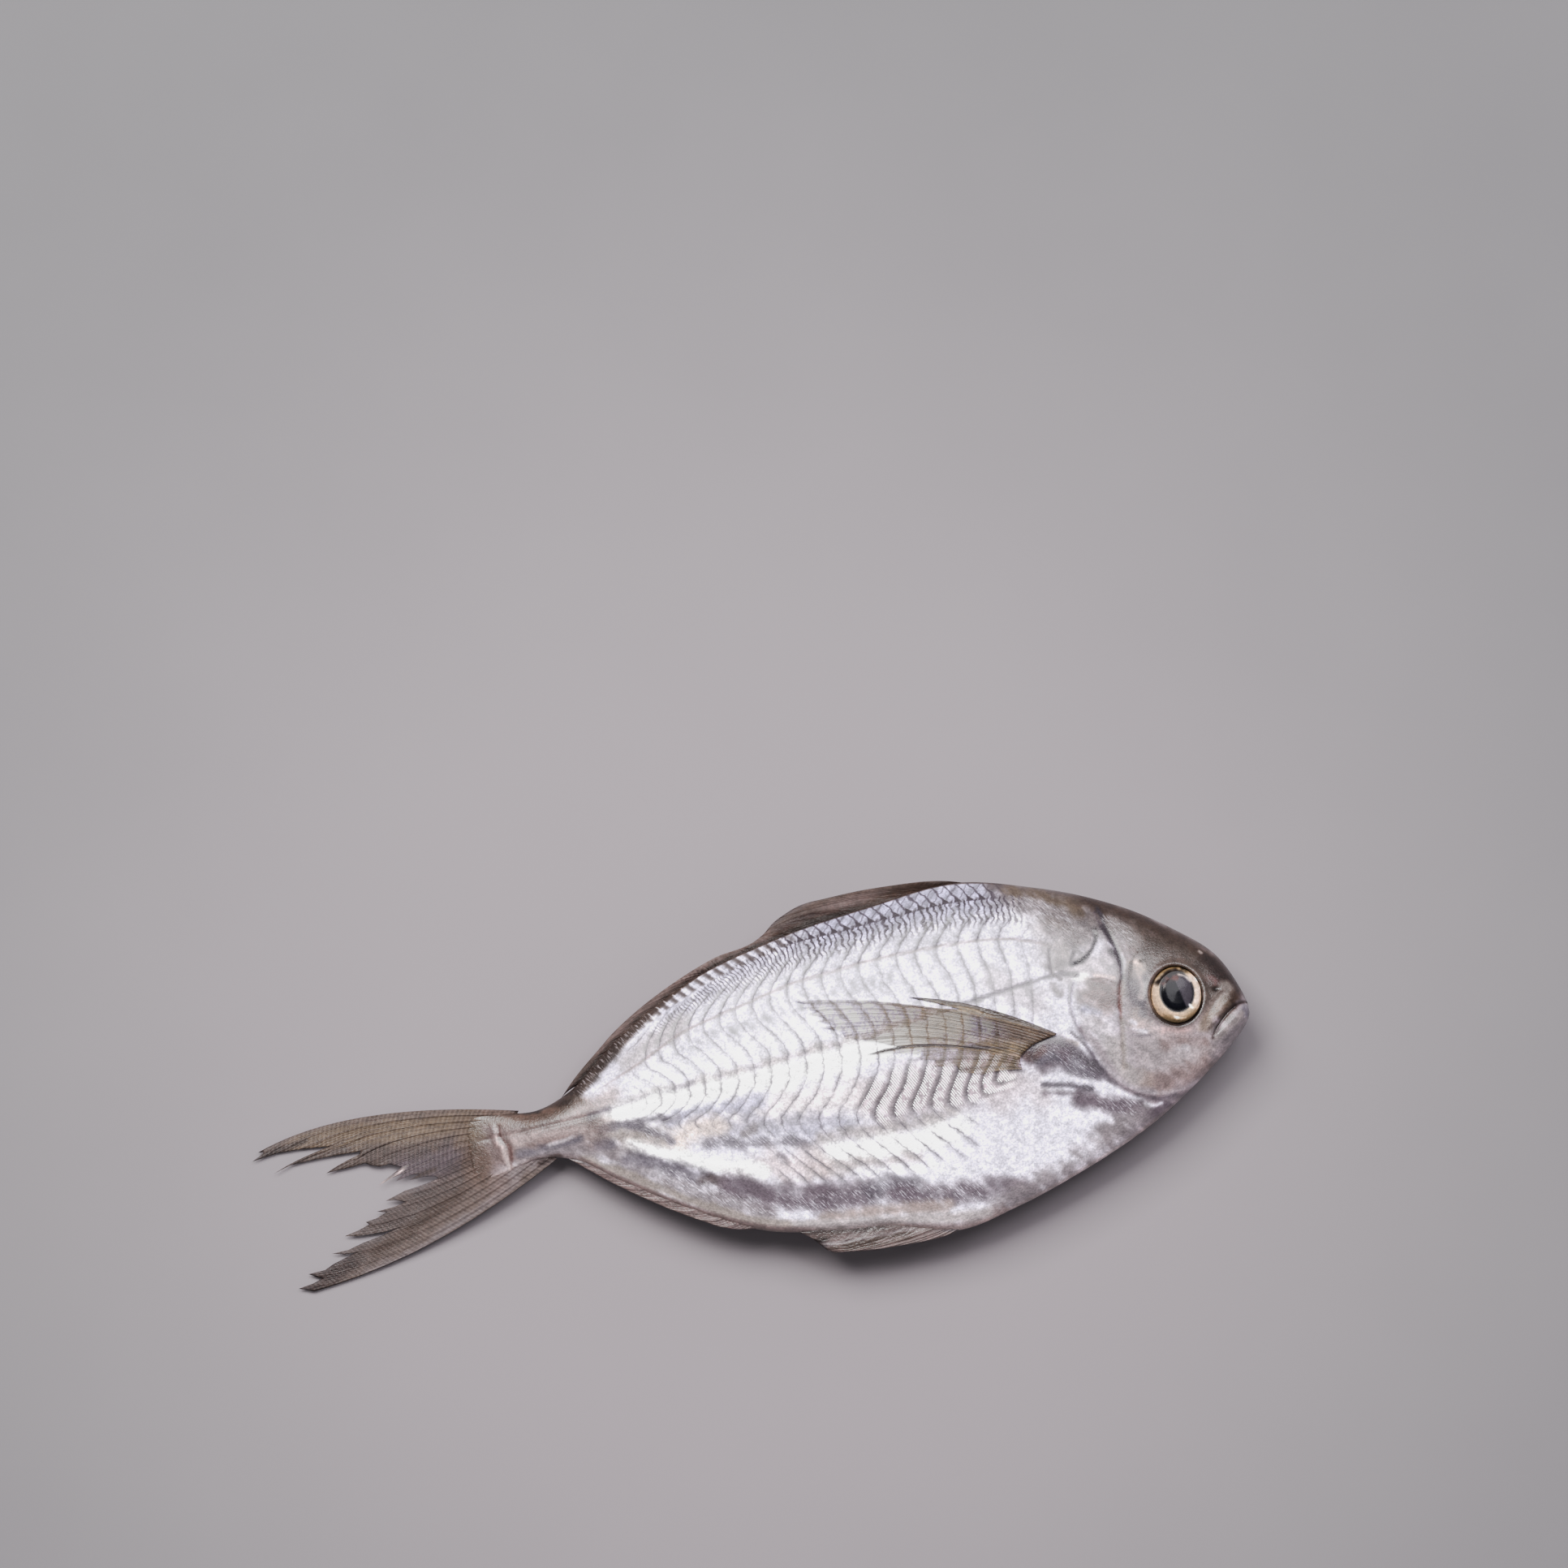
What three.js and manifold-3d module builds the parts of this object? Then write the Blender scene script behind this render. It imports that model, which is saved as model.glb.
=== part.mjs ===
// A whole raw butterfish lying on its left side, with its right flank up.
// Millimetres, +Z up. +X points to the snout and +Y to the back. The origin is on the surface that the
// fish lies on, under the middle of its length and depth.
//
// The fish is one solid, with its fins grown out of it, and its two eyes sit in their sockets.
// A place on the fish is given by `back`, how far behind the tip of the jaw it is, and `up`, how far it
// is towards the fish's back from the level of the jaw.

import * as THREE from "three";
import { LoftGeometry } from "three/addons/geometries/LoftGeometry.js";
import { mergeVertices } from "three/addons/utils/BufferGeometryUtils.js";
import Module from "manifold-3d";

const wasm = await Module();
wasm.setup();

// Driving dimensions
const FLESH_LENGTH = 152; // jaw tip to the end of the flesh, inside the tail fin's root
const MID_HEIGHT = 10.6; // the fish's middle plane above the surface it lies on
const TAIL_HEIGHT = 0.9; // the same at the tail fin's tips, which sink to the surface
const SAG_START = 95; // where the tail begins to sink, behind the jaw tip
const SAG_END = 190; // where it has reached the surface

// The back's edge and the belly's edge without fins, as [back, up]
const BACK_EDGE = [
  [0, 0.3], [1, 4.9], [5, 12.6], [12, 18.6], [22, 25], [38, 31.4], [56, 35.1],
  [70, 33.4], [92, 29.6], [110, 24], [126, 14.9], [137, 6.3], [143, 4.1], [152, 4.8],
];
const BELLY_EDGE = [
  [0, 0.3], [1, -2.1], [5, -6.2], [12, -11.8], [22, -18.5], [38, -25.9], [52, -30.8], [64, -33.5],
  [78, -30.6], [90, -29.5], [102, -27.4], [118, -19.9], [130, -12.3], [138, -6.8], [143, -5.7], [152, -7],
];
// Half the fish's thickness, as [back, half]
const HALF_THICKNESS = [
  [0, 0.2], [1, 2.9], [3, 4.7], [8, 6.9], [15, 8.7], [25, 10.2], [40, 11.2],
  [60, 11.2], [80, 10.2], [100, 8.2], [120, 5.4], [135, 3.7], [145, 2.9], [152, 1.2],
];
// How far each folded fin stands out past the edge it grows from, as [back, reach]
const BACK_FIN_REACH = [
  [50, -0.6], [56, 0.7], [62, 1.9], [70, 3.5], [80, 4.4], [89, 4.6],
  [92, 2.0], [104, 1.6], [128, 1.7], [136, 1.2], [139, -0.5],
];
const BELLY_FIN_REACH = [
  [63, -0.6], [68, 0.9], [74, 2.7], [80, 4.1], [92, 4.1],
  [95, 1.4], [112, 1.5], [130, 1.2], [137, 0.7], [140, -0.5],
];
const FOLDED_RAYS = 25;
const FOLDED_NOTCH = 0.3; // how far the skin between two folded ray tips is drawn in
const FIN_ROOT_DEPTH = 1.6; // how deep a folded fin's root is in the flesh

// The tail fin: its root, the tips of its two lobes and the bottom of its fork, as [back, up]
const TAIL_ROOT = { upper: [147, 4.6], lower: [141, -6.2], middle: [151, -1] };
const TAIL_TIP = { upper: [201, 3.4], lower: [196.3, -23.2] };
const TAIL_BEND = { upper: [184, 13], lower: [172, -23.5] };
const TAIL_FORK = [165.5, -4.6];
const TAIL_SWELL = { upper: [3, -1.8], lower: [2.8, 1.6] }; // how far each lobe's inner edge bows out
// How far in each gap between two rays is torn, from the upper edge to the lower, as a share of the ray
const TAIL_TEARS = [0.3, 0.13, 0.16, 0.1, 0.12, 0.07, 0.05, 0.02, 0.05, 0.07, 0.1, 0.12, 0.08, 0.22, 0.1, 0.14];
const TAIL_RAYS = TAIL_TEARS.length + 1;

// The breast fins, which lie along the flanks: root, tips and lower edge, as [back, up]
const BREAST_ROOT = { upper: [39, 1.6], lower: [47, -3.4] };
const BREAST_TIP = { upper: [68, 14.2], middle: [90.5, 16.4], lower: [68, 0.2] };
const BREAST_RAYS = 15;

const EYE = { back: 14, up: 5.3, halfLength: 5.5, halfHeight: 6, depth: 3.6, sunk: 1.7, gap: 0.3 };
const FIN_HALF_THICKNESS = 0.45;

// Surface finish
const SKIN_COLOUR = 0xb9b6bd;
const EYE_COLOUR = 0x4a4030;

/** A smooth curve through [place, value] pairs, as a function of the place. */
function smoothCurve(pairs) {
  const rise = (i) => (pairs[i + 1][1] - pairs[i][1]) / (pairs[i + 1][0] - pairs[i][0]);
  const last = pairs.length - 1;
  const slopes = pairs.map(([place], i) => {
    if (i === 0) return rise(0);
    if (i === last) return rise(last - 1);
    const before = place - pairs[i - 1][0];
    const after = pairs[i + 1][0] - place;
    return (rise(i - 1) * after + rise(i) * before) / (before + after);
  });
  return (place) => {
    let i = 0;
    while (i < last - 1 && pairs[i + 1][0] <= place) i += 1;
    const span = pairs[i + 1][0] - pairs[i][0];
    const t = THREE.MathUtils.clamp((place - pairs[i][0]) / span, 0, 1);
    const start = pairs[i][1] * (1 + 2 * t) * (1 - t) ** 2 + span * slopes[i] * t * (1 - t) ** 2;
    const end = pairs[i + 1][1] * t * t * (3 - 2 * t) - span * slopes[i + 1] * t * t * (1 - t);
    return start + end;
  };
}

/** The same, for an edge that is blunt at the snout, where it turns straight up. */
function bluntCurve(pairs) {
  const curve = smoothCurve(pairs.map(([back, value]) => [Math.sqrt(back), value]));
  return (back) => curve(Math.sqrt(Math.max(back, 0)));
}

const backEdge = bluntCurve(BACK_EDGE);
const bellyEdge = bluntCurve(BELLY_EDGE);
const halfThickness = bluntCurve(HALF_THICKNESS);
const backFinReach = smoothCurve(BACK_FIN_REACH);
const bellyFinReach = smoothCurve(BELLY_FIN_REACH);

/** The height of the fish's middle plane: level along the body, then sinking to the tail fin's tips. */
function midHeight(back) {
  return MID_HEIGHT - (MID_HEIGHT - TAIL_HEIGHT) * THREE.MathUtils.smoothstep(back, SAG_START, SAG_END);
}

/** Half the thickness of the flesh at a place on the flank, with the ridges along the back and belly. */
function fleshHalf(back, up) {
  const top = backEdge(back);
  const bottom = bellyEdge(back);
  const share = THREE.MathUtils.clamp((2 * up - top - bottom) / (top - bottom), -1, 1);
  const edgePower = THREE.MathUtils.lerp(0.5, 0.62, THREE.MathUtils.smoothstep(back, 5, 45));
  const round = (1 - Math.abs(share) ** 2.1) ** edgePower;
  return halfThickness(back) * round + finRootRidge(back, up - bottom);
}

/** The low round ridge that runs along the root of the belly fin. */
function finRootRidge(back, aboveBelly) {
  const length = THREE.MathUtils.smoothstep(back, 60, 78) * (1 - THREE.MathUtils.smoothstep(back, 128, 142));
  return 0.55 * length * Math.exp(-(((aboveBelly - 1.4) / 1.1) ** 2));
}

/** The swelling of the cheek and gill cover, which ends in a free edge at the gill opening. */
function gillCoverSwelling(back, up) {
  const fromCheek = THREE.MathUtils.smoothstep(back, 12, 30);
  const fromCrown = 1 - THREE.MathUtils.smoothstep(up, 6, 17);
  return 1.1 * fromCheek * fromCrown;
}

/** A point of the fish, `out` from its middle plane towards the right flank, or the left where negative. */
function place(back, up, out = 0) {
  return new THREE.Vector3(-back, up, midHeight(back) + out);
}

/** A closed geometry as a solid: shared corners are merged, and faces with no area are left out. */
function solidOf(geometry) {
  const bare = new THREE.BufferGeometry();
  bare.setAttribute("position", geometry.getAttribute("position"));
  bare.setIndex(geometry.getIndex());
  const merged = mergeVertices(bare, 1e-4);
  const corners = [];
  for (let i = 0; i < merged.index.count; i += 3) {
    const face = [merged.index.getX(i), merged.index.getX(i + 1), merged.index.getX(i + 2)];
    if (new Set(face).size === 3) corners.push(...face);
  }
  return new wasm.Manifold(new wasm.Mesh({
    numProp: 3,
    vertProperties: new Float32Array(merged.attributes.position.array),
    triVerts: new Uint32Array(corners),
  }));
}

/** A solid as a named mesh. */
function meshOf(name, solid, material) {
  const { vertProperties, triVerts } = solid.getMesh();
  const geometry = new THREE.BufferGeometry();
  geometry.setAttribute("position", new THREE.BufferAttribute(vertProperties, 3));
  geometry.setIndex(new THREE.BufferAttribute(triVerts, 1));
  geometry.computeVertexNormals();
  const mesh = new THREE.Mesh(geometry, material);
  mesh.name = name;
  return mesh;
}

/** A solid through a row of rings, closed at both ends, whichever way round its rings run. */
function loftedSolid(rings) {
  const middle = Math.floor(rings.length / 2);
  const centreOf = (ring) => ring.reduce((sum, p) => sum.add(p), new THREE.Vector3()).divideScalar(ring.length);
  const centre = centreOf(rings[middle]);
  const forward = centreOf(rings[middle + 1]).sub(centre);
  const turning = rings[middle].reduce((sum, point, i, ring) => {
    const next = ring[(i + 1) % ring.length];
    return sum.add(point.clone().sub(centre).cross(next.clone().sub(centre)));
  }, new THREE.Vector3());
  const outward = turning.dot(forward) > 0 ? rings : rings.map((ring) => ring.toReversed());
  return solidOf(new LoftGeometry(outward, { capStart: true, capEnd: true }));
}

/** Joins a list of solids into one. */
function joined(solids) {
  return solids.reduce((sum, solid) => sum.add(solid));
}

/** The flesh from the jaw to the tail's root, `swollen` by a function of the place on the flank. */
function fleshSolid(swollen = () => 0) {
  const stations = 52;
  const ringPoints = 40;
  const rings = [];
  for (let i = 1; i <= stations; i += 1) {
    const back = (FLESH_LENGTH * (1 - Math.cos((Math.PI * i) / stations))) / 2;
    const middle = (backEdge(back) + bellyEdge(back)) / 2;
    const half = (backEdge(back) - bellyEdge(back)) / 2;
    const ring = [];
    for (let j = 0; j < ringPoints; j += 1) {
      const turn = (2 * Math.PI * j) / ringPoints;
      const up = middle + half * Math.cos(turn);
      const side = Math.sin(turn);
      const onEdge = Math.abs(side) < 1e-9;
      const out = onEdge ? 0 : (fleshHalf(back, up) + swollen(back, up)) * Math.sign(side);
      ring.push(place(back, up, out));
    }
    rings.push(ring);
  }
  return loftedSolid(rings);
}

/** An upright slab whose outline is a closed line of [back, up] points, through the fish's thickness. */
function slab(outline) {
  const depth = 4 * MID_HEIGHT;
  const shape = new THREE.Shape(outline.map(([back, up]) => new THREE.Vector2(-back, up)));
  const geometry = new THREE.ExtrudeGeometry(shape, { depth, bevelEnabled: false });
  return solidOf(geometry.translate(0, 0, MID_HEIGHT - depth / 2));
}

/** Both gill covers, whose back edges stand free of the body along the gill opening. */
function gillCovers() {
  const opening = new THREE.SplineCurve(
    [[28, 19], [33.5, 12], [35, 6], [33.6, 0], [31.4, -6], [27.5, -11], [22, -13.6], [15, -13.6]]
      .map(([back, up]) => new THREE.Vector2(back, up)),
  );
  const edge = opening.getPoints(24).map((p) => [p.x, p.y]);
  return fleshSolid(gillCoverSwelling).intersect(slab([...edge, [6, -13], [6, 19]]));
}

/** A tapered round bar along a line of places on the right flank, over the snout and back on the left. */
function lip(sidePlaces, front, radius) {
  const side = (sign) => sidePlaces.map(([back, up, inward]) =>
    place(back, up, sign * (fleshHalf(back, up) - inward)));
  const path = new THREE.CatmullRomCurve3([...side(1), place(...front), ...side(-1).reverse()]);
  const steps = 26;
  const frames = path.computeFrenetFrames(steps);
  const rings = [];
  for (let i = 0; i <= steps; i += 1) {
    const along = i / steps;
    const size = radius * (0.35 + 0.65 * Math.sin(Math.PI * along) ** 0.5);
    const centre = path.getPointAt(along);
    const ring = [];
    for (let j = 0; j < 8; j += 1) {
      const turn = (2 * Math.PI * j) / 8;
      ring.push(centre.clone()
        .addScaledVector(frames.normals[i], size * Math.cos(turn))
        .addScaledVector(frames.binormals[i], size * Math.sin(turn)));
    }
    rings.push(ring);
  }
  return loftedSolid(rings);
}

/**
 * A thin fin. `spot(across, along)` gives its middle surface, with `across` from 0 to 1 from ray to ray
 * and `along` from 0 at the root to 1 at the tip. Rays are thicker than the skin between them.
 */
function fin(rays, rows, spot) {
  const columns = 2 * rays - 2;
  const rings = [];
  for (let i = 0; i <= columns; i += 1) {
    const isRay = i % 2 === 0;
    const top = [];
    const bottom = [];
    for (let j = 0; j <= rows; j += 1) {
      const along = j / rows;
      const centre = spot(i / columns, along, isRay);
      const half = FIN_HALF_THICKNESS * (isRay ? 1 : 0.7) * (1 - 0.35 * along ** 2);
      top.push(centre.clone().setZ(centre.z + half));
      bottom.unshift(centre.clone().setZ(centre.z - half));
    }
    rings.push([...top, ...bottom]);
  }
  return loftedSolid(rings);
}

/** A point on a curve that starts at `root`, is drawn towards `bend` and ends at `tip`, all [back, up]. */
function rayPoint(root, bend, tip, along) {
  const before = (1 - along) ** 2;
  const middle = 2 * along * (1 - along);
  const after = along * along;
  return [0, 1].map((k) => before * root[k] + middle * bend[k] + after * tip[k]);
}

/** The place between two [back, up] places. */
function between(a, b, share) {
  return [a[0] + (b[0] - a[0]) * share, a[1] + (b[1] - a[1]) * share];
}

/** The forked tail fin, with torn gaps between the ends of its rays. */
function tailFin() {
  const forkShare = 0.47;
  return fin(TAIL_RAYS, 9, (across, along, isRay) => {
    const isUpper = across < forkShare;
    const lobe = isUpper ? "upper" : "lower";
    const toEdge = isUpper ? 1 - across / forkShare : (across - forkShare) / (1 - forkShare);
    const root = between(TAIL_ROOT.middle, TAIL_ROOT[lobe], toEdge ** 1.3);
    const swell = Math.sin(Math.PI * toEdge);
    const tip = between(TAIL_FORK, TAIL_TIP[lobe], toEdge ** 1.15).map((v, k) => v + TAIL_SWELL[lobe][k] * swell);
    const straight = between(root, tip, 0.5);
    const bend = between(straight, TAIL_BEND[lobe], toEdge ** 1.6);
    const torn = isRay ? 0 : TAIL_TEARS[Math.floor(across * TAIL_TEARS.length)];
    const [back, up] = rayPoint(root, bend, tip, along * (1 - torn));
    return place(back, up);
  });
}

/**
 * A fin folded down on an edge of the body, seen as a narrow band from `from` to `to` behind the jaw.
 * `edge` and `reach` are functions of the place, and side is 1 for the back and -1 for the belly.
 */
function foldedFin(from, to, edge, reach, side) {
  return fin(FOLDED_RAYS, 2, (across, along, isRay) => {
    const back = from + (to - from) * across;
    const tip = reach(back) - (isRay ? 0 : FOLDED_NOTCH);
    return place(back, edge(back) + side * THREE.MathUtils.lerp(-FIN_ROOT_DEPTH, tip, along));
  });
}

/** A breast fin laid back along a flank: the right one where side is 1, the left where it is -1. */
function breastFin(side) {
  return fin(BREAST_RAYS, 6, (across, along, isRay) => {
    const root = between(BREAST_ROOT.upper, BREAST_ROOT.lower, across);
    const leading = 0.18;
    const tip = across < leading
      ? between(BREAST_TIP.upper, BREAST_TIP.middle, across / leading)
      : between(BREAST_TIP.middle, BREAST_TIP.lower, ((across - leading) / (1 - leading)) ** 0.8);
    const straight = between(root, tip, 0.5);
    const bend = [straight[0], straight[1] + 3.4 * (1 - across) + 0.8];
    const [back, up] = rayPoint(root, bend, tip, along * (isRay ? 1 : 0.95));
    const lift = 0.25 + 0.25 * Math.sin(Math.PI * along);
    return place(back, up, side * (fleshHalf(back, up) + lift));
  });
}

/** The way the flank faces at a place on it. */
function flankNormal(back, up, side) {
  const step = 0.5;
  const alongBack = (fleshHalf(back + step, up) - fleshHalf(back - step, up)) / (2 * step);
  const alongUp = (fleshHalf(back, up + step) - fleshHalf(back, up - step)) / (2 * step);
  return new THREE.Vector3(alongBack, -alongUp, side).normalize();
}

/** An eyeball, or with `gap` above 0 the socket that it sits in. */
function eyeball(side, gap) {
  const ball = new THREE.SphereGeometry(1, 24, 14);
  ball.rotateX(Math.PI / 2);
  ball.scale(EYE.halfLength + gap, EYE.halfHeight + gap, EYE.depth + gap);
  const facing = new THREE.Quaternion()
    .setFromUnitVectors(new THREE.Vector3(0, 0, side), flankNormal(EYE.back, EYE.up, side));
  ball.applyQuaternion(facing);
  const centre = place(EYE.back, EYE.up, side * (fleshHalf(EYE.back, EYE.up) - EYE.sunk));
  return solidOf(ball.translate(...centre));
}

/** The slit between the jaws, open at the front and closed at its corner. */
function mouthSlit() {
  return slab([[-1, 2.7], [-1, 1.5], [1.5, 1.3], [4.5, 0.1], [7.2, -1.7], [4.5, 0.5], [1.5, 1.9]]);
}

/** The whole fish without its eyes, its underside pressed flat where it lies. */
function fishSolid() {
  const lowerLip = lip([[8, -3.8, 1.3], [5, -2.3, 0.6], [2, -0.7, 0.5]], [0.9, 0.2, 0], 1.25);
  const upperLip = lip([[7, 0.2, 1.0], [4.5, 1.9, 0.5], [2.4, 3.2, 0.3]], [1.5, 3.6, 0], 0.9);
  const body = joined([
    fleshSolid(),
    gillCovers(),
    lowerLip,
    upperLip,
    tailFin(),
    foldedFin(50, 139, backEdge, backFinReach, 1),
    foldedFin(63, 140, bellyEdge, bellyFinReach, -1),
    breastFin(1),
    breastFin(-1),
  ]);
  const belowSurface = slab([[-10, 60], [220, 60], [220, -60], [-10, -60]])
    .translate([0, 0, -3 * MID_HEIGHT]);
  return [mouthSlit(), eyeball(1, EYE.gap), eyeball(-1, EYE.gap), belowSurface]
    .reduce((left, cut) => left.subtract(cut), body);
}

const skin = new THREE.MeshStandardMaterial({ color: SKIN_COLOUR, roughness: 0.35, metalness: 0.45 });
const eye = new THREE.MeshStandardMaterial({ color: EYE_COLOUR, roughness: 0.12, metalness: 0.2 });

const fish = new THREE.Group();
fish.add(meshOf("fish", fishSolid(), skin));
fish.add(meshOf("eye_right", eyeball(1, 0), eye));
fish.add(meshOf("eye_left", eyeball(-1, 0), eye));

// The origin goes under the middle of the fish's length and depth.
const extent = new THREE.Box3().setFromObject(fish);
const centre = extent.getCenter(new THREE.Vector3());
fish.position.set(-centre.x, -centre.y, -extent.min.z);

export default fish;
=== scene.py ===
"""Looks of a whole raw butterfish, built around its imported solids.

The fish lies on its left flank. Its own measure is used throughout, in millimetres: `back` is how far a
place is behind the tip of the jaw, `up` how far it is towards the fish's back from the level of the jaw,
and `out` how far it stands from the fish's middle plane. FishForm.place turns these into metres in the
frame. The paints are colours as seen in the studio's light, and NodeSheet.base turns them into base colours.
"""

import logging
import math
from dataclasses import dataclass, field
from enum import Enum
from functools import partial, reduce

import bmesh
import bpy
import numpy as np
from mathutils import Matrix, Vector


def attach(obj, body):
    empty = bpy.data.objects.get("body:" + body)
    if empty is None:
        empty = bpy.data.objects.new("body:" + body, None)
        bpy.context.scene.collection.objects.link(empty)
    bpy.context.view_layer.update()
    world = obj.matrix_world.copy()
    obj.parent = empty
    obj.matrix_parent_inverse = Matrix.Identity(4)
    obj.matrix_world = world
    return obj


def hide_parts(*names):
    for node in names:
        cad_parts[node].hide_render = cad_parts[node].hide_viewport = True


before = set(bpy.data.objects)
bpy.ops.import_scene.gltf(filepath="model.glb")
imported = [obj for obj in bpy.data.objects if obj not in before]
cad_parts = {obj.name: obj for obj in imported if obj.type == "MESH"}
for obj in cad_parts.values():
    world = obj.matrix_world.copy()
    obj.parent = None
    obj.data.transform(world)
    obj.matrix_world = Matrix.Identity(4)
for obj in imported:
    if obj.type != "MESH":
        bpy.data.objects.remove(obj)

LOG = logging.getLogger("butterfish")
MM = 0.001
ROOT_BODY = "root"

Array = np.ndarray
Pairs = tuple[tuple[float, float], ...]
Triples = tuple[tuple[float, float, float], ...]
Colour = tuple[int, int, int]


# Colours


class Paint(Enum):
    """The colours of the fish as the eye sees them in the studio's light, in sRGB."""

    SNOW = (255, 255, 255)
    FROST = (241, 239, 246)
    SHELL = (238, 226, 225)
    PEARL = (228, 225, 234)
    CREAM = (228, 218, 212)
    SILVER = (215, 212, 220)
    SAND = (213, 203, 199)
    IVORY = (212, 199, 178)
    MIST = (205, 199, 204)
    BLUSH = (204, 192, 192)
    PINK = (196, 168, 166)
    LILAC = (190, 187, 201)
    ASH = (184, 177, 178)
    HAZE = (176, 173, 187)
    FAWN = (176, 162, 158)
    WHEAT = (176, 160, 132)
    STONE = (167, 158, 154)
    MAUVE = (166, 155, 161)
    WOUND = (162, 113, 117)
    DOVE = (150, 141, 145)
    TAUPE = (150, 133, 132)
    HONEY = (150, 125, 85)
    TAN = (141, 126, 110)
    HEATHER = (134, 127, 137)
    RUST = (131, 85, 79)
    OLIVE = (128, 112, 94)
    PLUM = (122, 110, 119)
    HIDE = (118, 105, 100)
    PEWTER = (121, 117, 128)
    BRONZE = (119, 98, 87)
    SLATE = (110, 103, 112)
    MAROON = (108, 79, 76)
    COCOA = (102, 90, 88)
    GRAPE = (98, 88, 97)
    UMBER = (86, 69, 61)
    INK = (72, 67, 75)
    EMBER = (70, 55, 54)
    SOOT = (50, 40, 38)
    NAVY = (38, 39, 50)
    NIGHT = (28, 27, 34)

    @property
    def share(self) -> Array:
        """The colour from 0 to 1."""
        return np.asarray(self.value, float) / 255.0


def linear(share: Array) -> Array:
    """An sRGB colour of 0 to 1 as linear light."""
    return np.where(share <= 0.04045, share / 12.92, ((share + 0.055) / 1.055) ** 2.4)


# How much light a level surface must give back to look as bright as a seen brightness, in the studio's light
SEEN_TO_BASE = (
    (0, 0), (0.2, 0.003), (0.357, 0.0115), (0.498, 0.03), (0.62, 0.062), (0.706, 0.106), (0.773, 0.17),
    (0.816, 0.255), (0.851, 0.356), (0.878, 0.483), (0.902, 0.62), (0.918, 0.8), (0.933, 1.0), (1.0, 1.0),
)


def lay(canvas: Array, paint: Paint, cover: Array) -> None:
    """Lays a paint over a canvas of seen colours, in place, with a cover from 0 to 1."""
    canvas += (paint.share - canvas) * cover[..., None]


# Curves, trails and grain


def smoothstep(value: Array | float, low: float, high: float) -> Array:
    """A soft rise from 0 at low to 1 at high."""
    t = np.clip((np.asarray(value, float) - low) / (high - low), 0.0, 1.0)
    return t * t * (3.0 - 2.0 * t)


def between_levels(value: Array, low: Array | float, high: Array | float, soft: float) -> Array:
    """1 where a value lies between two levels, with soft edges."""
    return smoothstep(value - low, -soft, soft) * smoothstep(high - value, -soft, soft)


def bell(value: Array, width: float) -> Array:
    """A soft bump of 1 at 0, of the given half width."""
    return np.exp(-((value / width) ** 2))


def slopes(rise: Array, gaps: Array) -> Array:
    """The slopes of a smooth curve at its knots.

    Args:
        rise: how steeply the values rise from each knot to the next.
        gaps: how far apart the knots are.

    Returns:
        A slope for each knot.
    """
    inner = (rise[:-1] * gaps[1:] + rise[1:] * gaps[:-1]) / (gaps[:-1] + gaps[1:])
    return np.concatenate([rise[:1], inner, rise[-1:]])


def joined(t: Array, start: Array, end: Array, leave: Array, arrive: Array) -> Array:
    """A smooth way from one value to another.

    Args:
        t: shares of the way.
        start, end: the two values.
        leave, arrive: how much it would rise over the whole way at its first and its last slope.

    Returns:
        The value at each share.
    """
    first = start * (1 + 2 * t) * (1 - t) ** 2 + leave * t * (1 - t) ** 2
    last = end * t * t * (3 - 2 * t) - arrive * t * t * (1 - t)
    return first + last


@dataclass(frozen=True)
class Profile:
    """A smooth curve through (place, value) pairs; a blunt one turns straight up at place 0."""

    pairs: Pairs
    blunt: bool = False

    def at(self, places: Array | float) -> Array:
        """The curve's values.

        Args:
            places: where to read it.

        Returns:
            The value at each place, held level past both ends.
        """
        x, y = np.asarray(self.pairs, float).T
        place = np.asarray(places, float)
        if self.blunt:
            x, place = np.sqrt(x), np.sqrt(np.maximum(place, 0.0))
        gaps = np.diff(x)
        slope = slopes(np.diff(y) / gaps, gaps)
        i = np.clip(np.searchsorted(x, place, side="right") - 1, 0, len(x) - 2)
        t = np.clip((place - x[i]) / gaps[i], 0.0, 1.0)
        return joined(t, y[i], y[i + 1], gaps[i] * slope[i], gaps[i] * slope[i + 1])

    def steps_before(self, places: Array) -> Array:
        """Takes the curve as a changing pitch.

        Args:
            places: how far along, from 0 to 200.

        Returns:
            How many steps of that pitch fit before each place.
        """
        knots = np.linspace(0.0, 200.0, 401)
        count = np.cumsum(0.5 / self.at(knots[:-1] + 0.25))
        return np.interp(places, knots, np.concatenate([[0.0], count]))


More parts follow.
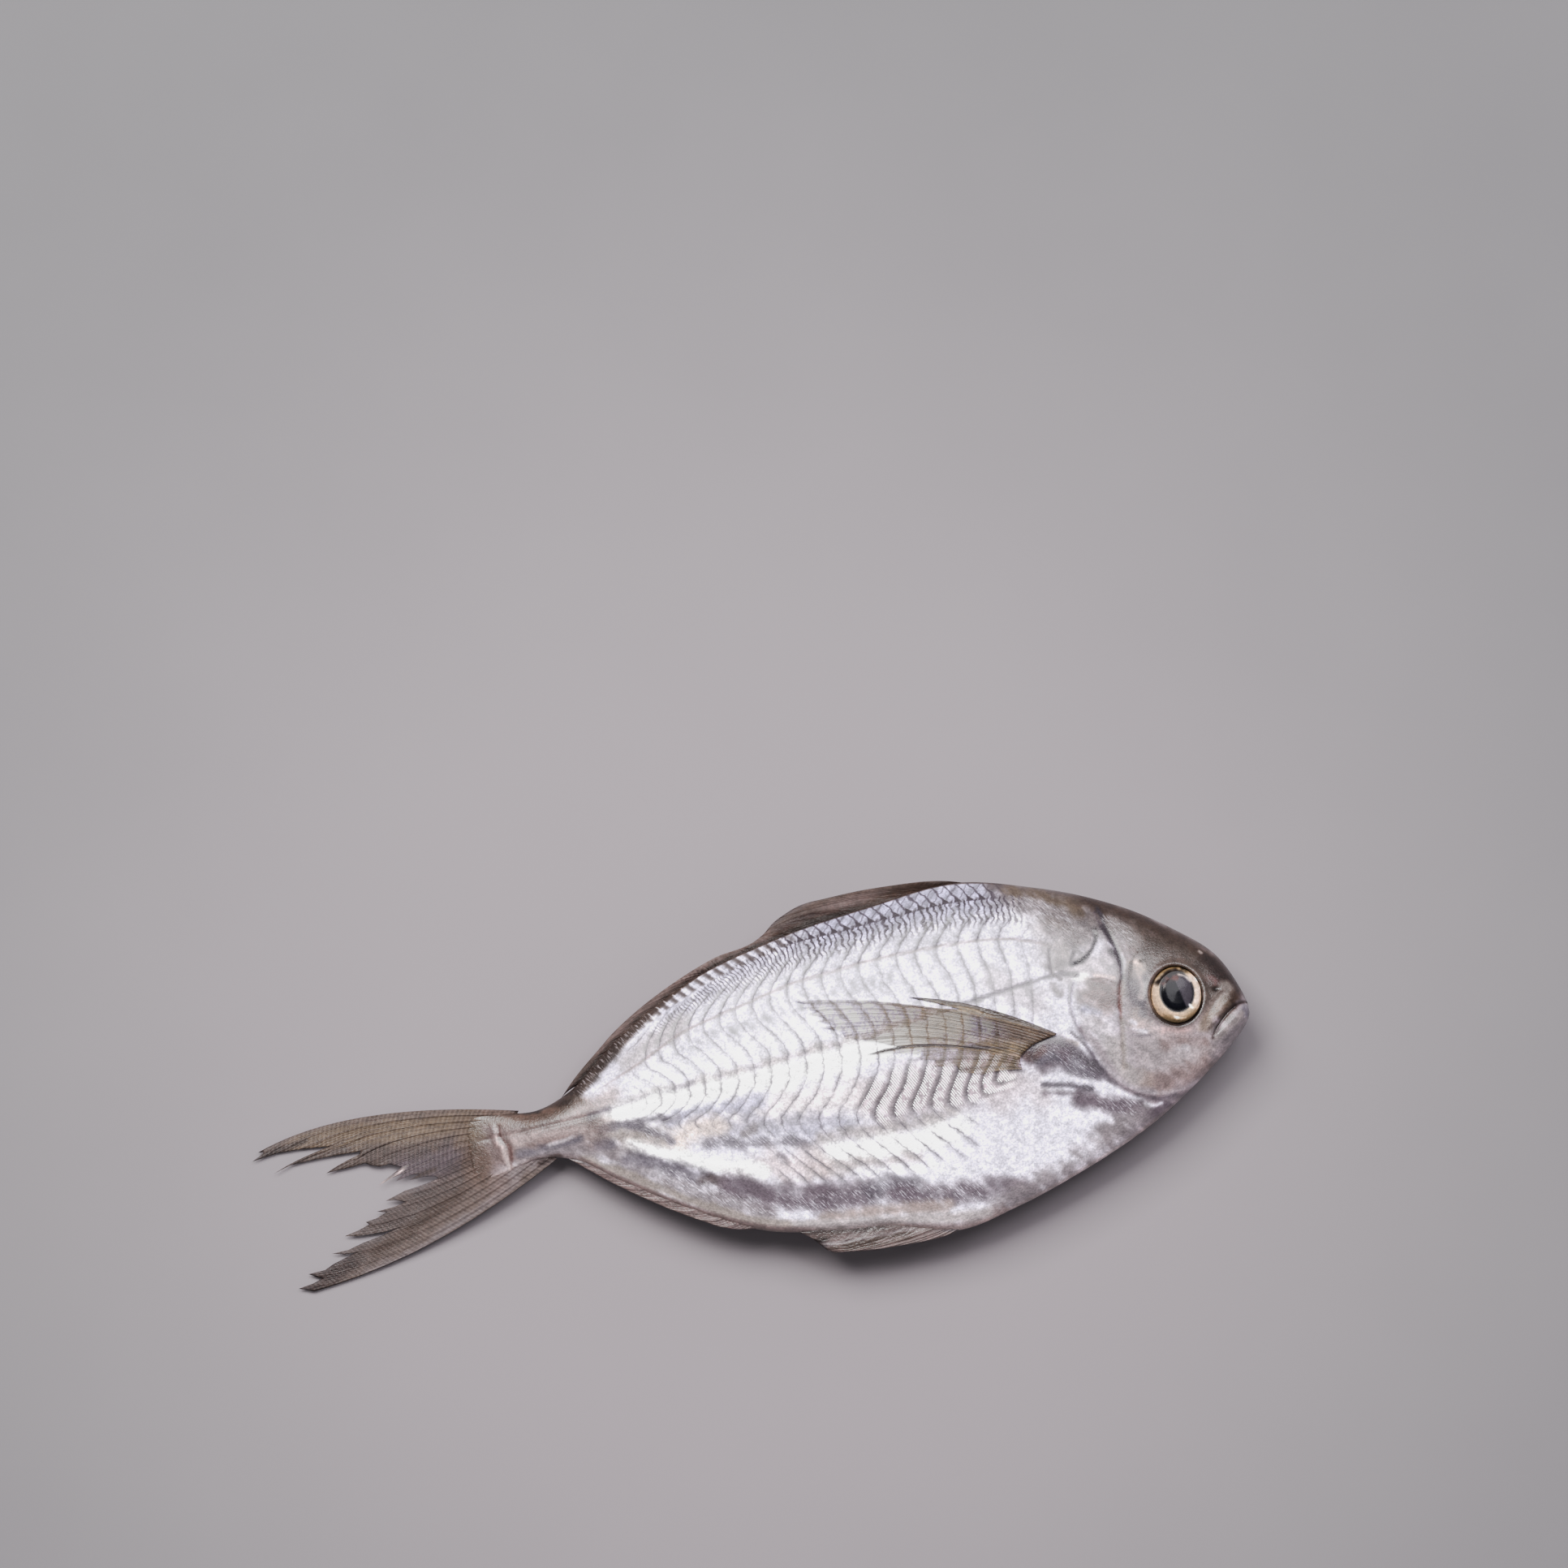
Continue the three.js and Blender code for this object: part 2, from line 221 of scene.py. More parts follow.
@dataclass(frozen=True)
class Trail:
    """A line on the flank through (back, up) points, drawn smoothly."""

    points: Pairs
    steps: int = 6

    def drawn(self) -> Array:
        """The trail as a fine row of points.

        Returns:
            One (back, up) point a row.
        """
        p = np.asarray(self.points, float)
        if len(p) < 3:
            return p
        q = np.vstack([2 * p[0] - p[1], p, 2 * p[-1] - p[-2]])
        t = np.linspace(0.0, 1.0, self.steps, endpoint=False)[:, None]
        rows = []
        for a, b, c, d in zip(q[:-3], q[1:-2], q[2:-1], q[3:]):
            bent = (2 * a - 5 * b + 4 * c - d) * t**2 + (3 * b - a - 3 * c + d) * t**3
            rows.append(0.5 * (2 * b + (c - a) * t + bent))
        return np.vstack([*rows, p[-1:]])

    def reach(self, back: Array, up: Array) -> tuple[Array, Array, Array]:
        """How places lie to the trail.

        Args:
            back, up: the places.

        Returns:
            The distance to the trail, the share of the trail's length at its nearest point, and the side,
            which is 1 on the left of the way it runs as seen with `back` to the right and -1 on the other.
        """
        line = self.drawn()
        lengths = np.hypot(*np.diff(line, axis=0).T)
        total = max(lengths.sum(), 1e-9)
        best = np.full(np.shape(back), 1e9)
        share = np.zeros(np.shape(back))
        side = np.ones(np.shape(back))
        done = 0.0
        for (ax, ay), (bx, by), length in zip(line[:-1], line[1:], lengths):
            dx, dy = bx - ax, by - ay
            t = np.clip(((back - ax) * dx + (up - ay) * dy) / max(length * length, 1e-12), 0.0, 1.0)
            gap = np.hypot(back - ax - t * dx, up - ay - t * dy)
            nearer = gap < best
            best = np.where(nearer, gap, best)
            share = np.where(nearer, (done + t * length) / total, share)
            side = np.where(nearer, np.sign(dx * (up - ay) - dy * (back - ax)), side)
            done += length
        return best, share, side


@dataclass(frozen=True)
class Grain:
    """Smooth random unevenness from a seeded lattice, from -1 to 1."""

    seed: int
    cells: int = 128

    def at(self, x: Array, y: Array) -> Array:
        """The unevenness at places given in lattice cells.

        Args:
            x, y: the places.

        Returns:
            A number for each place.
        """
        lattice = np.random.RandomState(self.seed).uniform(-1.0, 1.0, (self.cells, self.cells))
        i, j = np.floor(x).astype(int), np.floor(y).astype(int)
        u, v = smoothstep(x - i, 0.0, 1.0), smoothstep(y - j, 0.0, 1.0)
        corner = [[lattice[(i + a) % self.cells, (j + b) % self.cells] for b in (0, 1)] for a in (0, 1)]
        near = corner[0][0] * (1 - v) + corner[0][1] * v
        far = corner[1][0] * (1 - v) + corner[1][1] * v
        return near * (1 - u) + far * u

    def rough(self, x: Array, y: Array, layers: int = 3) -> Array:
        """Several layers of it, each finer and weaker than the last."""
        total = sum(self.at(x * 2.0**k + 17.0 * k, y * 2.0**k) * 0.55**k for k in range(layers))
        return total / sum(0.55**k for k in range(layers))


# The fish's form


class Flank(Enum):
    """A side of the fish, and the way along Z that it faces."""

    RIGHT = 1
    LEFT = -1


@dataclass(frozen=True)
class FishForm:
    """The body's outline and thickness, as in the solids, run on into the tail fin."""

    snout_x: float = 100.341
    jaw_y: float = -0.8027
    mid_level: float = 10.6
    tail_level: float = 0.9
    flesh_length: float = 158.0
    back_edge: Profile = Profile((
        (0, 0.3), (1, 4.9), (5, 12.6), (12, 18.6), (22, 25), (38, 31.4), (56, 35.1),
        (70, 33.4), (92, 29.6), (110, 24), (126, 14.9), (137, 6.3), (143, 4.1), (152, 4.8), (158, 5.4),
    ), blunt=True)
    belly_edge: Profile = Profile((
        (0, 0.3), (1, -2.1), (5, -6.2), (12, -11.8), (22, -18.5), (38, -25.9), (52, -30.8), (64, -33.5),
        (78, -30.6), (90, -29.5), (102, -27.4), (118, -19.9), (130, -12.3), (138, -6.8), (143, -5.7),
        (152, -7.2), (158, -9),
    ), blunt=True)
    light_over: float = 0.86
    light_aside: float = 0.5
    half_thickness: Profile = Profile((
        (0, 0.2), (1, 2.9), (3, 4.7), (8, 6.9), (15, 8.7), (25, 10.2), (40, 11.2),
        (60, 11.2), (80, 10.2), (100, 8.2), (120, 5.4), (135, 3.7), (145, 2.9), (152, 1.35), (158, 0.2),
    ), blunt=True)

    def mid_height(self, back: Array) -> Array:
        """The height of the middle plane, which sinks to the surface at the tail."""
        return self.mid_level - (self.mid_level - self.tail_level) * smoothstep(back, 95.0, 190.0)

    def half(self, back: Array, up: Array) -> Array:
        """Half the thickness of the flesh at a place on the flank.

        Args:
            back, up: the places.

        Returns:
            Millimetres from the middle plane.
        """
        top, bottom = self.back_edge.at(back), self.belly_edge.at(back)
        share = np.clip((2 * up - top - bottom) / np.maximum(top - bottom, 1e-6), -1.0, 1.0)
        power = 0.5 + 0.12 * smoothstep(back, 5.0, 45.0)
        round_ = (1 - np.abs(share) ** 2.1) ** power
        length = smoothstep(back, 60.0, 78.0) * (1 - smoothstep(back, 128.0, 142.0))
        ridge = 0.55 * length * bell(up - bottom - 1.4, 1.1)
        return self.half_thickness.at(back) * round_ + ridge

    def lift(self, back: Array, up: Array) -> Array:
        """How much paler the paint must be where the flank leans out of the light.

        Args:
            back, up: the places.

        Returns:
            A factor for the base colour.
        """
        step = 0.6
        along = self.half(back + step, up) - self.half(back - step, up)
        along = (along + self.mid_height(back + step) - self.mid_height(back - step)) / (2 * step)
        across = (self.half(back, up + step) - self.half(back, up - step)) / (2 * step)
        lit = (self.light_over - self.light_aside * across) / np.sqrt(along**2 + across**2 + 1.0)
        return np.clip(self.light_over / np.maximum(lit, 0.05), 0.8, 2.4)

    def place(self, back: Array, up: Array, out: Array | float = 0.0) -> Array:
        """Places on the fish as points in the frame.

        Args:
            back, up: where on the flank.
            out: how far from the middle plane, positive towards the right flank.

        Returns:
            An array of the same shape with x, y and z in metres as its last axis.
        """
        back, up = np.asarray(back, float), np.asarray(up, float)
        z = self.mid_height(back) + out
        return np.stack([self.snout_x - back, up + self.jaw_y, z + 0.0 * up], axis=-1) * MM


FORM = FishForm()

# Lines on the flank that both the relief and the colours follow
GILL_OPENING = Trail((
    (28, 19), (33.5, 12), (35, 6), (33.6, 0), (31.4, -6), (27.5, -11), (22, -13.8), (16, -14), (12, -12.6),
))
CHEEK_CREASE = Trail((
    (26.8, 25.5), (25.4, 20.5), (23.9, 14.7), (23.9, 11.3), (25, 7.2), (25.4, 3.4), (26, -2),
    (26.4, -7.4), (24.6, -10.4),
))
MOUTH = Trail(((-0.6, 1.9), (1.6, 1.9), (4.3, 0.4), (6.8, -2), (8.2, -4.2)))
LOWER_LIP = Trail(((0.9, 0.2), (2.6, -1.2), (5, -3.1), (8.2, -5.4)))
LATERAL = Profile((
    (34, 18.2), (37, 19), (40, 20.3), (45, 21.8), (50, 22.5), (60, 22.6), (70, 22.3), (80, 21.3), (90, 20),
    (100, 17.5), (105, 16.3), (110, 15), (115, 13), (120, 10.5), (128, 7), (135, 4), (150, 1),
))
SEPTUM = Profile((
    (33, 12.5), (37.5, 13.2), (50, 11.2), (57, 10), (66, 7.9), (75, 6.2), (85, 5.8), (100, 4.2), (110, 3.2),
    (120, 2.3), (130, 1.3), (150, 0),
))
LOWER_BEND = Profile((
    (40, -3), (47, -5), (55, -8.5), (61, -9.2), (71, -9), (86, -8), (95, -6.5), (106, -5), (115, -3.8),
    (124, -2.4), (140, -1),
))
RIB_TOP = Profile((
    (40, -3.5), (47, -5.5), (53, -8.5), (57, -10.5), (66, -12.7), (75, -13.2), (86, -12.8), (95, -11.5),
    (106, -8.5), (115, -6), (124, -4), (140, -2),
))
PORE_ROW = Profile((
    (40, 30.2), (48, 31), (55.7, 31.4), (62, 31), (66.5, 30.5), (71, 30.2), (77.7, 29.4), (83.7, 29),
    (88, 28.6), (100, 25.6), (112, 19.6), (124, 12.4),
))
# Heights of the painted shadows beside the band edges, along the body
BAND_SHADOWS = Profile((
    (66, 18.2), (72, 17.6), (80, 17.2), (88, 15.4), (94.4, 14.4), (99, 13.1), (106, 12.4), (112, 10.6),
))


@dataclass(frozen=True)
class MuscleBands:
    """The W-shaped edges of the muscle bands that show through the skin."""

    pitch: Profile = Profile((
        (30, 4.3), (60, 4.1), (75, 3.85), (90, 3.6), (110, 3.3), (125, 2.9), (150, 2.5),
    ))

    def levels(self, back: Array) -> list[tuple[Array, Array]]:
        """The levels that the bands bend at, from the back's edge down.

        Args:
            back: the places.

        Returns:
            Each level's height, with how far back the bands lie there.
        """
        lean = smoothstep(back, 38.0, 78.0)
        rear = smoothstep(back, 80.0, 104.0)
        lateral, septum = LATERAL.at(back), SEPTUM.at(back)
        bend, ribs = LOWER_BEND.at(back), RIB_TOP.at(back)
        side = lateral - septum
        below = septum - bend
        belly = FORM.belly_edge.at(back)
        return [
            (FORM.back_edge.at(back), -11.0 - 5.0 * rear),
            (lateral + 4.6 + 2.0 * rear, -3.9 * (0.82 + 0.18 * lean) - 5.0 * rear),
            (lateral, 0.0 * back),
            (lateral - 0.26 * side, -0.1 - 0.3 * lean),
            (lateral - 0.55 * side, -0.7 - 2.1 * lean),
            (lateral - 0.82 * side, -0.6 - 4.1 * lean),
            (septum, -0.5 - 4.4 * lean),
            (septum - 0.3 * below, -0.3 - 4.3 * lean),
            (septum - 0.6 * below, 0.9 - 3.2 * lean),
            (bend, 3.2 - 1.6 * lean),
            (ribs, 1.6 - 2.6 * lean),
            (ribs + 0.35 * (belly - ribs), -5.6 - 1.6 * lean),
            (belly, -17.0 + 0.0 * back),
        ]

    def shift(self, back: Array, up: Array) -> Array:
        """How far back the bands lie at each place, drawn smoothly through the levels.

        Args:
            back, up: the places.

        Returns:
            Millimetres.
        """
        high, here = (np.stack([level[k] + 0.0 * back for level in self.levels(back)]) for k in (0, 1))
        gaps = np.maximum(high[:-1] - high[1:], 1e-3)
        slope = slopes((here[1:] - here[:-1]) / gaps, gaps)
        offset = here[0].copy()
        for k, gap in enumerate(gaps):
            t = np.clip((high[k] - up) / gap, 0.0, 1.0)
            way = joined(t, here[k], here[k + 1], gap * slope[k], gap * slope[k + 1])
            offset = np.where(up < high[k], way, offset)
        return offset

    def phase(self, back: Array, up: Array) -> Array:
        """A number that grows by one from each band edge to the next.

        Args:
            back, up: the places.

        Returns:
            The number, whole at each edge.
        """
        sway = 0.3 * Grain(11).rough(back / 7.0 + 40.0, up / 7.0 + 40.0, 2)
        sway = sway + 0.12 * Grain(12).at(back / 1.6 + 20.0, up / 1.6 + 60.0)
        return self.pitch.steps_before(back - self.shift(back, up) + sway)

    def strength(self, back: Array, up: Array) -> Array:
        """How plainly the edges show, from 0 to 1.

        Args:
            back, up: the places.

        Returns:
            A share for each place.
        """
        lateral, septum = LATERAL.at(back), SEPTUM.at(back)
        bend, ribs = LOWER_BEND.at(back), RIB_TOP.at(back)
        body = smoothstep(back, 38.0, 46.0) * (1 - smoothstep(back, 116.0, 130.0))
        chevrons = between_levels(up, lateral, lateral + 4.8, 0.5)
        side = 0.62 * between_levels(up, septum + 0.2, lateral - 0.2, 0.4)
        below = 0.7 * between_levels(up, bend - 1.2, septum, 0.5)
        turning = between_levels(back, 62.0, 100.0, 4.0)
        flip = 0.75 * turning * between_levels(up, ribs + 0.4, bend - 0.6, 0.5)
        behind_fin = 1 - 0.85 * smoothstep(bend + 1.0 - up, 0.0, 2.0) * (1 - smoothstep(back, 52.0, 60.0))
        ribbed = between_levels(back, 58.0, 97.0, 4.0)
        rib_zone = 0.85 * ribbed * between_levels(up, ribs - 7.4, ribs - 0.5, 0.9)
        return np.clip(body * (chevrons + side + below + flip) * behind_fin + rib_zone, 0.0, 1.0)

    def shading(self, back: Array, up: Array) -> Array:
        """Painted shade and light across each band, as its relief would take the light, and painted shadows
        beside the band edges under the lateral line, around 0.

        Args:
            back, up: the places.

        Returns:
            A share of the brightness for each place.
        """
        turn = self.phase(back, up) % 1.0
        patch = GREY_PATCH.cover(back, up)
        bend, ribs = LOWER_BEND.at(back), RIB_TOP.at(back)
        body = between_levels(back, 42.0, 122.0, 5.0)
        ribbed = between_levels(back, 58.0, 97.0, 4.0)
        ribs_low = ribbed * between_levels(up, ribs - 8.4, ribs - 1.6, 1.4)
        # Painted shade across each band: darkest just behind an edge, light over most of it, darker again
        # before the next edge
        rounded = smoothstep(turn, 0.0, 0.5) - 0.5 - 0.9 * smoothstep(turn, 0.86, 1.0)
        mild = 0.11 * body * rounded * smoothstep(up, bend - 1.0, bend + 1.0)
        # Painted shadows: soft dark blotches beside the band edges under the lateral line
        shadow_blot = bell(up - BAND_SHADOWS.at(back), 1.5) * bell(turn - 0.6, 0.2)
        shadow_blot = shadow_blot * between_levels(back, 68.0, 113.0, 3.0)
        shadow_blot = shadow_blot * (0.55 + 0.45 * Grain(14).at(back / 3.5, up / 3.5))
        return mild + 0.24 * patch * rounded + 0.16 * ribs_low * rounded - 0.34 * shadow_blot


@dataclass(frozen=True)
class Zone:
    """A soft-edged area along a trail."""

    trail: Trail
    width: float
    soft: float

    def cover(self, back: Array, up: Array) -> Array:
        """1 inside the area, 0 outside."""
        return 1 - smoothstep(self.trail.reach(back, up)[0], self.width, self.width + self.soft)


BANDS = MuscleBands()
GREY_PATCH = Zone(Trail(((52, -3.6), (58, -5.0), (65, -4.8), (71, -4.4), (75, -6.0))), 3.2, 2.8)
GLINTS = tuple(Zone(Trail(line), width, soft) for line, width, soft in (
    (((118, 17.6), (127, 12.4), (134, 6.8)), 1.2, 1),
    (((120, -13.6), (112, -18.2), (104, -22.2), (96, -24.4)), 1, 1.4),
    (((98, -22.8), (88, -24.2), (78, -23.6), (68, -25.6), (60, -26.6)), 1.4, 1.6),
    (((40, -6.6), (33, -9.6), (26, -15.4), (32, -13.6)), 0.8, 1.4),
    (((40.6, -1.6), (36.4, -4.4), (33.4, -7.4)), 1.2, 1.2),
    (((42, 28.2), (36, 25.2), (33, 20.6)), 1.6, 1.8),
    (((25, 22.6), (22, 19.6), (21.6, 16.4)), 0.8, 1),
    (((122, -4.4), (112, -7.6), (102, -9.8), (94, -11.4)), 1, 1.6),
))


# Meshes


def stand(name: str, data: bpy.types.ID) -> bpy.types.Object:
    """A new object in the scene.

    Args:
        name: its name.
        data: its mesh, lamp or camera.

    Returns:
        The object.
    """
    thing = bpy.data.objects.new(name, data)
    bpy.context.scene.collection.objects.link(thing)
    return thing


def as_mesh(shape: bmesh.types.BMesh, name: str) -> bpy.types.Mesh:
    """Turns a bmesh into a new mesh, and frees it.

    Args:
        shape: the bmesh.
        name: the mesh's name.

    Returns:
        The mesh.
    """
    mesh = bpy.data.meshes.new(name)
    shape.to_mesh(mesh)
    shape.free()
    return mesh


def points_of(mesh: bpy.types.Mesh) -> Array:
    """Where a mesh's points are.

    Args:
        mesh: the mesh.

    Returns:
        A row of x, y and z for each point.
    """
    flat = np.zeros(len(mesh.vertices) * 3, np.float32)
    mesh.vertices.foreach_get("co", flat)
    return flat.reshape(-1, 3)


def face_out(mesh: bpy.types.Mesh, close: bool = False) -> None:
    """Turns a mesh's faces outwards.

    Args:
        mesh: the mesh.
        close: whether its seam is welded and its ends are filled first.
    """
    shell = bmesh.new()
    shell.from_mesh(mesh)
    if close:
        bmesh.ops.remove_doubles(shell, verts=shell.verts, dist=2e-7)
        bmesh.ops.dissolve_degenerate(shell, edges=shell.edges, dist=1e-8)
        open_edges = [edge for edge in shell.edges if edge.is_boundary]
        filled = bmesh.ops.holes_fill(shell, edges=open_edges, sides=0)["faces"]
        bmesh.ops.triangulate(shell, faces=filled)
    bmesh.ops.recalc_face_normals(shell, faces=shell.faces)
    shell.to_mesh(mesh)
    shell.free()


@dataclass
class WrappedMesh:
    """A closed surface from a grid whose two long sides meet and whose two ends are closed."""

    name: str
    spots: Array
    uv: Array
    values: dict[str, Array] = field(default_factory=dict)
    colours: dict[str, Array] = field(default_factory=dict)

    def build(self) -> bpy.types.Object:
        """The surface as a new object in the scene.

        Returns:
            The new object, at the origin, with its attributes and smooth shading.
        """
        rows, columns = self.spots.shape[:2]
        sheet = bmesh.new()
        bmesh.ops.create_grid(sheet, x_segments=columns - 1, y_segments=rows - 1, size=1.0)
        mesh = as_mesh(sheet, self.name)
        corner = points_of(mesh)
        i = np.rint((corner[:, 1] + 1) / 2 * (rows - 1)).astype(int)
        j = np.rint((corner[:, 0] + 1) / 2 * (columns - 1)).astype(int)
        mesh.vertices.foreach_set("co", self.spots[i, j].astype(np.float32).ravel())
        for name, value in self.values.items():
            spread_value(mesh, name, value[i, j])
        for name, value in self.colours.items():
            spread_colour(mesh, name, value[i, j])
        at = np.zeros(len(mesh.loops), np.int32)
        mesh.loops.foreach_get("vertex_index", at)
        layer = mesh.uv_layers.new(name="Flank")
        layer.data.foreach_set("uv", self.uv[i[at], j[at]].astype(np.float32).ravel())
        face_out(mesh, close=True)
        mesh.shade_smooth()
        return stand(self.name, mesh)


def spread_value(mesh: bpy.types.Mesh, name: str, values: Array) -> None:
    """Stores a number for each point of a mesh."""
    mesh.attributes.new(name, "FLOAT", "POINT").data.foreach_set("value", values.astype(np.float32))


def spread_colour(mesh: bpy.types.Mesh, name: str, colours: Array) -> None:
    """Stores three numbers for each point of a mesh, as a colour.

    Args:
        mesh: the mesh.
        name: the attribute's name.
        colours: three numbers for each point.
    """
    rgba = np.ones((len(colours), 4), np.float32)
    rgba[:, : colours.shape[-1]] = colours
    mesh.attributes.new(name, "FLOAT_COLOR", "POINT").data.foreach_set("color", rgba.ravel())


def hand_over(
    piece: bpy.types.Object, material: bpy.types.Material, slot: str, *nodes: str
) -> bpy.types.Object:
    """Dresses a finished piece and fixes it to the fish.

    Args:
        piece: the piece, in place.
        material: its finish.
        slot: not used.
        nodes: the solids that it stands for.

    Returns:
        The piece.
    """
    piece.data.materials.clear()
    piece.data.materials.append(material)
    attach(piece, ROOT_BODY)
    if nodes:
        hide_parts(*nodes)
    LOG.info("%s: %d faces", piece.name, len(piece.data.polygons))
    return piece


# Shader nodes

Socket = bpy.types.NodeSocket
Wire = Socket | float | tuple
Inputs = dict[int | str, Wire]


@dataclass
class NodeSheet:
    """A node tree, with short ways to add nodes and wires."""

    tree: bpy.types.NodeTree

    def add(self, kind: str, inputs: Inputs | None = None, **settings: object) -> bpy.types.Node:
        """A new node.

        Args:
            kind: its type.
            inputs: a wire or value for each input, by number or name.
            settings: its own settings.

        Returns:
            The node.
        """
        node = self.tree.nodes.new(kind)
        for name, value in settings.items():
            setattr(node, name, value)
        self.feed(node, inputs or {})
        return node

    def feed(self, node: bpy.types.Node, inputs: Inputs) -> None:
        """Wires a node's inputs, by number or name, or sets their own values."""
        for name, value in inputs.items():
            self.put(node.inputs[name], value)

    def put(self, socket: Socket, value: Wire) -> None:
        """Wires a socket, or sets its own value.

        Args:
            socket: an input.
            value: another node's output, or a plain value.
        """
        if isinstance(value, bpy.types.NodeSocket):
            self.tree.links.new(value, socket)
        else:
            socket.default_value = value

    def math(self, operation: str, *values: Wire, clamp: bool = False) -> Socket:
        """A Math node's result."""
        node = self.add("ShaderNodeMath", dict(enumerate(values)), operation=operation, use_clamp=clamp)
        return node.outputs[0]

    def times(self, *values: Wire) -> Socket:
        """The product of several values."""
        return reduce(lambda a, b: self.math("MULTIPLY", a, b), values)

    def plus(self, a: Wire, b: Wire) -> Socket:
        """The sum of two values."""
        return self.math("ADD", a, b)

    def larger(self, a: Wire, b: Wire) -> Socket:
        """The larger of two values."""
        return self.math("MAXIMUM", a, b)

    def rest(self, share: Wire) -> Socket:
        """What a share leaves of 1."""
        return self.math("SUBTRACT", 1.0, share)

    def around(self, value: Wire, middle: float = 0.5) -> Socket:
        """A value less the middle of its range."""
        return self.math("SUBTRACT", value, middle)

    def along(self, place: Wire, way: tuple[float, float, float]) -> Socket:
        """How far a place lies along a direction."""
        return self.add("ShaderNodeVectorMath", {0: place, 1: way}, operation="DOT_PRODUCT").outputs["Value"]

    def step(self, value: Wire, low: Wire, high: Wire) -> Socket:
        """A soft rise from 0 to 1 between two values."""
        ends = {"Value": value, "From Min": low, "From Max": high}
        return self.add("ShaderNodeMapRange", ends, interpolation_type="SMOOTHSTEP", clamp=True).outputs[0]

    def mix(self, factor: Wire, a: Wire, b: Wire) -> Socket:
        """A Mix node's colour."""
        inputs = {0: factor, 6: a, 7: b}
        return self.add("ShaderNodeMix", inputs, data_type="RGBA", clamp_factor=True).outputs[2]

    def tint(self, colour: Wire, factor: Wire, paint: Paint) -> Socket:
        """A seen colour with a paint laid over it."""
        return self.mix(factor, colour, (*paint.share, 1.0))

    def base(self, seen: Wire, lift: Wire = 1.0) -> Socket:
        """The base colour that looks like a seen colour in the studio's light.

        Args:
            seen: the colour as seen.
            lift: how much paler it must be than on a level surface.

        Returns:
            The base colour.
        """
        node = self.add("ShaderNodeRGBCurve", {"Color": seen})
        curve = node.mapping.curves[3]
        curve.points[0].location, curve.points[1].location = SEEN_TO_BASE[0], SEEN_TO_BASE[-1]
        for point in SEEN_TO_BASE[1:-1]:
            curve.points.new(*point)
        node.mapping.update()
        return self.scale(node.outputs["Color"], lift)

    def scale(self, colour: Wire, factor: Wire) -> Socket:
        """A colour or place times a factor."""
        return self.add("ShaderNodeVectorMath", {0: colour, "Scale": factor}, operation="SCALE").outputs[0]

    def noise(self, vector: Wire, scale: Wire, detail: float = 3.0, roughness: float = 0.55) -> Socket:
        """A Noise Texture's value."""
        inputs = {"Vector": vector, "Scale": scale, "Detail": detail, "Roughness": roughness}
        return self.add("ShaderNodeTexNoise", inputs).outputs["Fac"]

    def attribute(self, name: str, output: str = "Fac") -> Socket:
        """A mesh attribute's value or colour."""
        return self.add("ShaderNodeAttribute", attribute_name=name).outputs[output]

    def masks(self, name: str) -> tuple[Socket, Socket, Socket]:
        """The three masks that a colour attribute holds."""
        node = self.add("ShaderNodeSeparateColor", {0: self.attribute(name, "Color")})
        return tuple(node.outputs[i] for i in range(3))

    def millimetres(self) -> Socket:
        """Object coordinates in millimetres."""
        return self.scale(self.add("ShaderNodeTexCoord").outputs["Object"], 1.0 / MM)

    def bump(self, height: Wire, strength: float, distance: float, **below: Socket) -> Socket:
        """A Bump node's normal; `Normal` names another that it lies over."""
        inputs = {"Height": height, "Strength": strength, "Distance": distance, **below}
        return self.add("ShaderNodeBump", inputs).outputs["Normal"]


class Group(Enum):
    """The shared effects, each a node group that is built once."""

    LINES = "Fine lines"
    PORES = "Row of pores"
    GRAIN = "Skin grain"

    def tree(self) -> bpy.types.NodeTree:
        """This effect's node group."""
        made = bpy.data.node_groups.get(self.value)
        return made if made else GROUP_MAKERS[self]()

    def within(self, sheet: NodeSheet, **inputs: Wire) -> dict[str, Socket]:
        """Places the effect in a material.

        Args:
            sheet: the material's nodes.
            inputs: a wire or value for each named input.

        Returns:
            The group's outputs by name.
        """
        node = sheet.add("ShaderNodeGroup", inputs, node_tree=self.tree())
        return dict(node.outputs.items())


Ends = dict[str, Socket]


def new_group(
    group: Group, inputs: dict[str, str], outputs: tuple[str, ...]
) -> tuple[NodeSheet, Ends, Ends]:
    """An empty node group.

    Args:
        group: which effect it is.
        inputs: each input's name and kind, such as "Float" or "Vector".
        outputs: the names of its values.

    Returns:
        Its sheet, its inputs as wires and its outputs as sockets.
    """
    tree = bpy.data.node_groups.new(group.value, "ShaderNodeTree")
    for name, kind in inputs.items():
        tree.interface.new_socket(name=name, in_out="INPUT", socket_type=f"NodeSocket{kind}")
    for name in outputs:
        tree.interface.new_socket(name=name, in_out="OUTPUT", socket_type="NodeSocketFloat")
    sheet = NodeSheet(tree)
    source, target = sheet.add("NodeGroupInput"), sheet.add("NodeGroupOutput")
    return sheet, dict(source.outputs.items()), dict(target.inputs.items())


def lines_group() -> bpy.types.NodeTree:
    """Thin lines where a phase crosses a whole number, and the share of the way between two.

    Returns:
        The group.
    """
    inputs = {"Phase": "Float", "Width": "Float", "Softness": "Float"}
    sheet, given, out = new_group(Group.LINES, inputs, ("Line", "Halo", "Turn"))
    turn = sheet.math("FRACT", given["Phase"])
    gap = sheet.math("SUBTRACT", 0.5, sheet.math("ABSOLUTE", sheet.around(turn)))
    outer = sheet.plus(given["Width"], given["Softness"])
    for name, edge in (("Line", outer), ("Halo", sheet.plus(outer, 0.14))):
        sheet.put(out[name], sheet.rest(sheet.step(gap, given["Width"], edge)))
    sheet.put(out["Turn"], turn)
    return sheet.tree


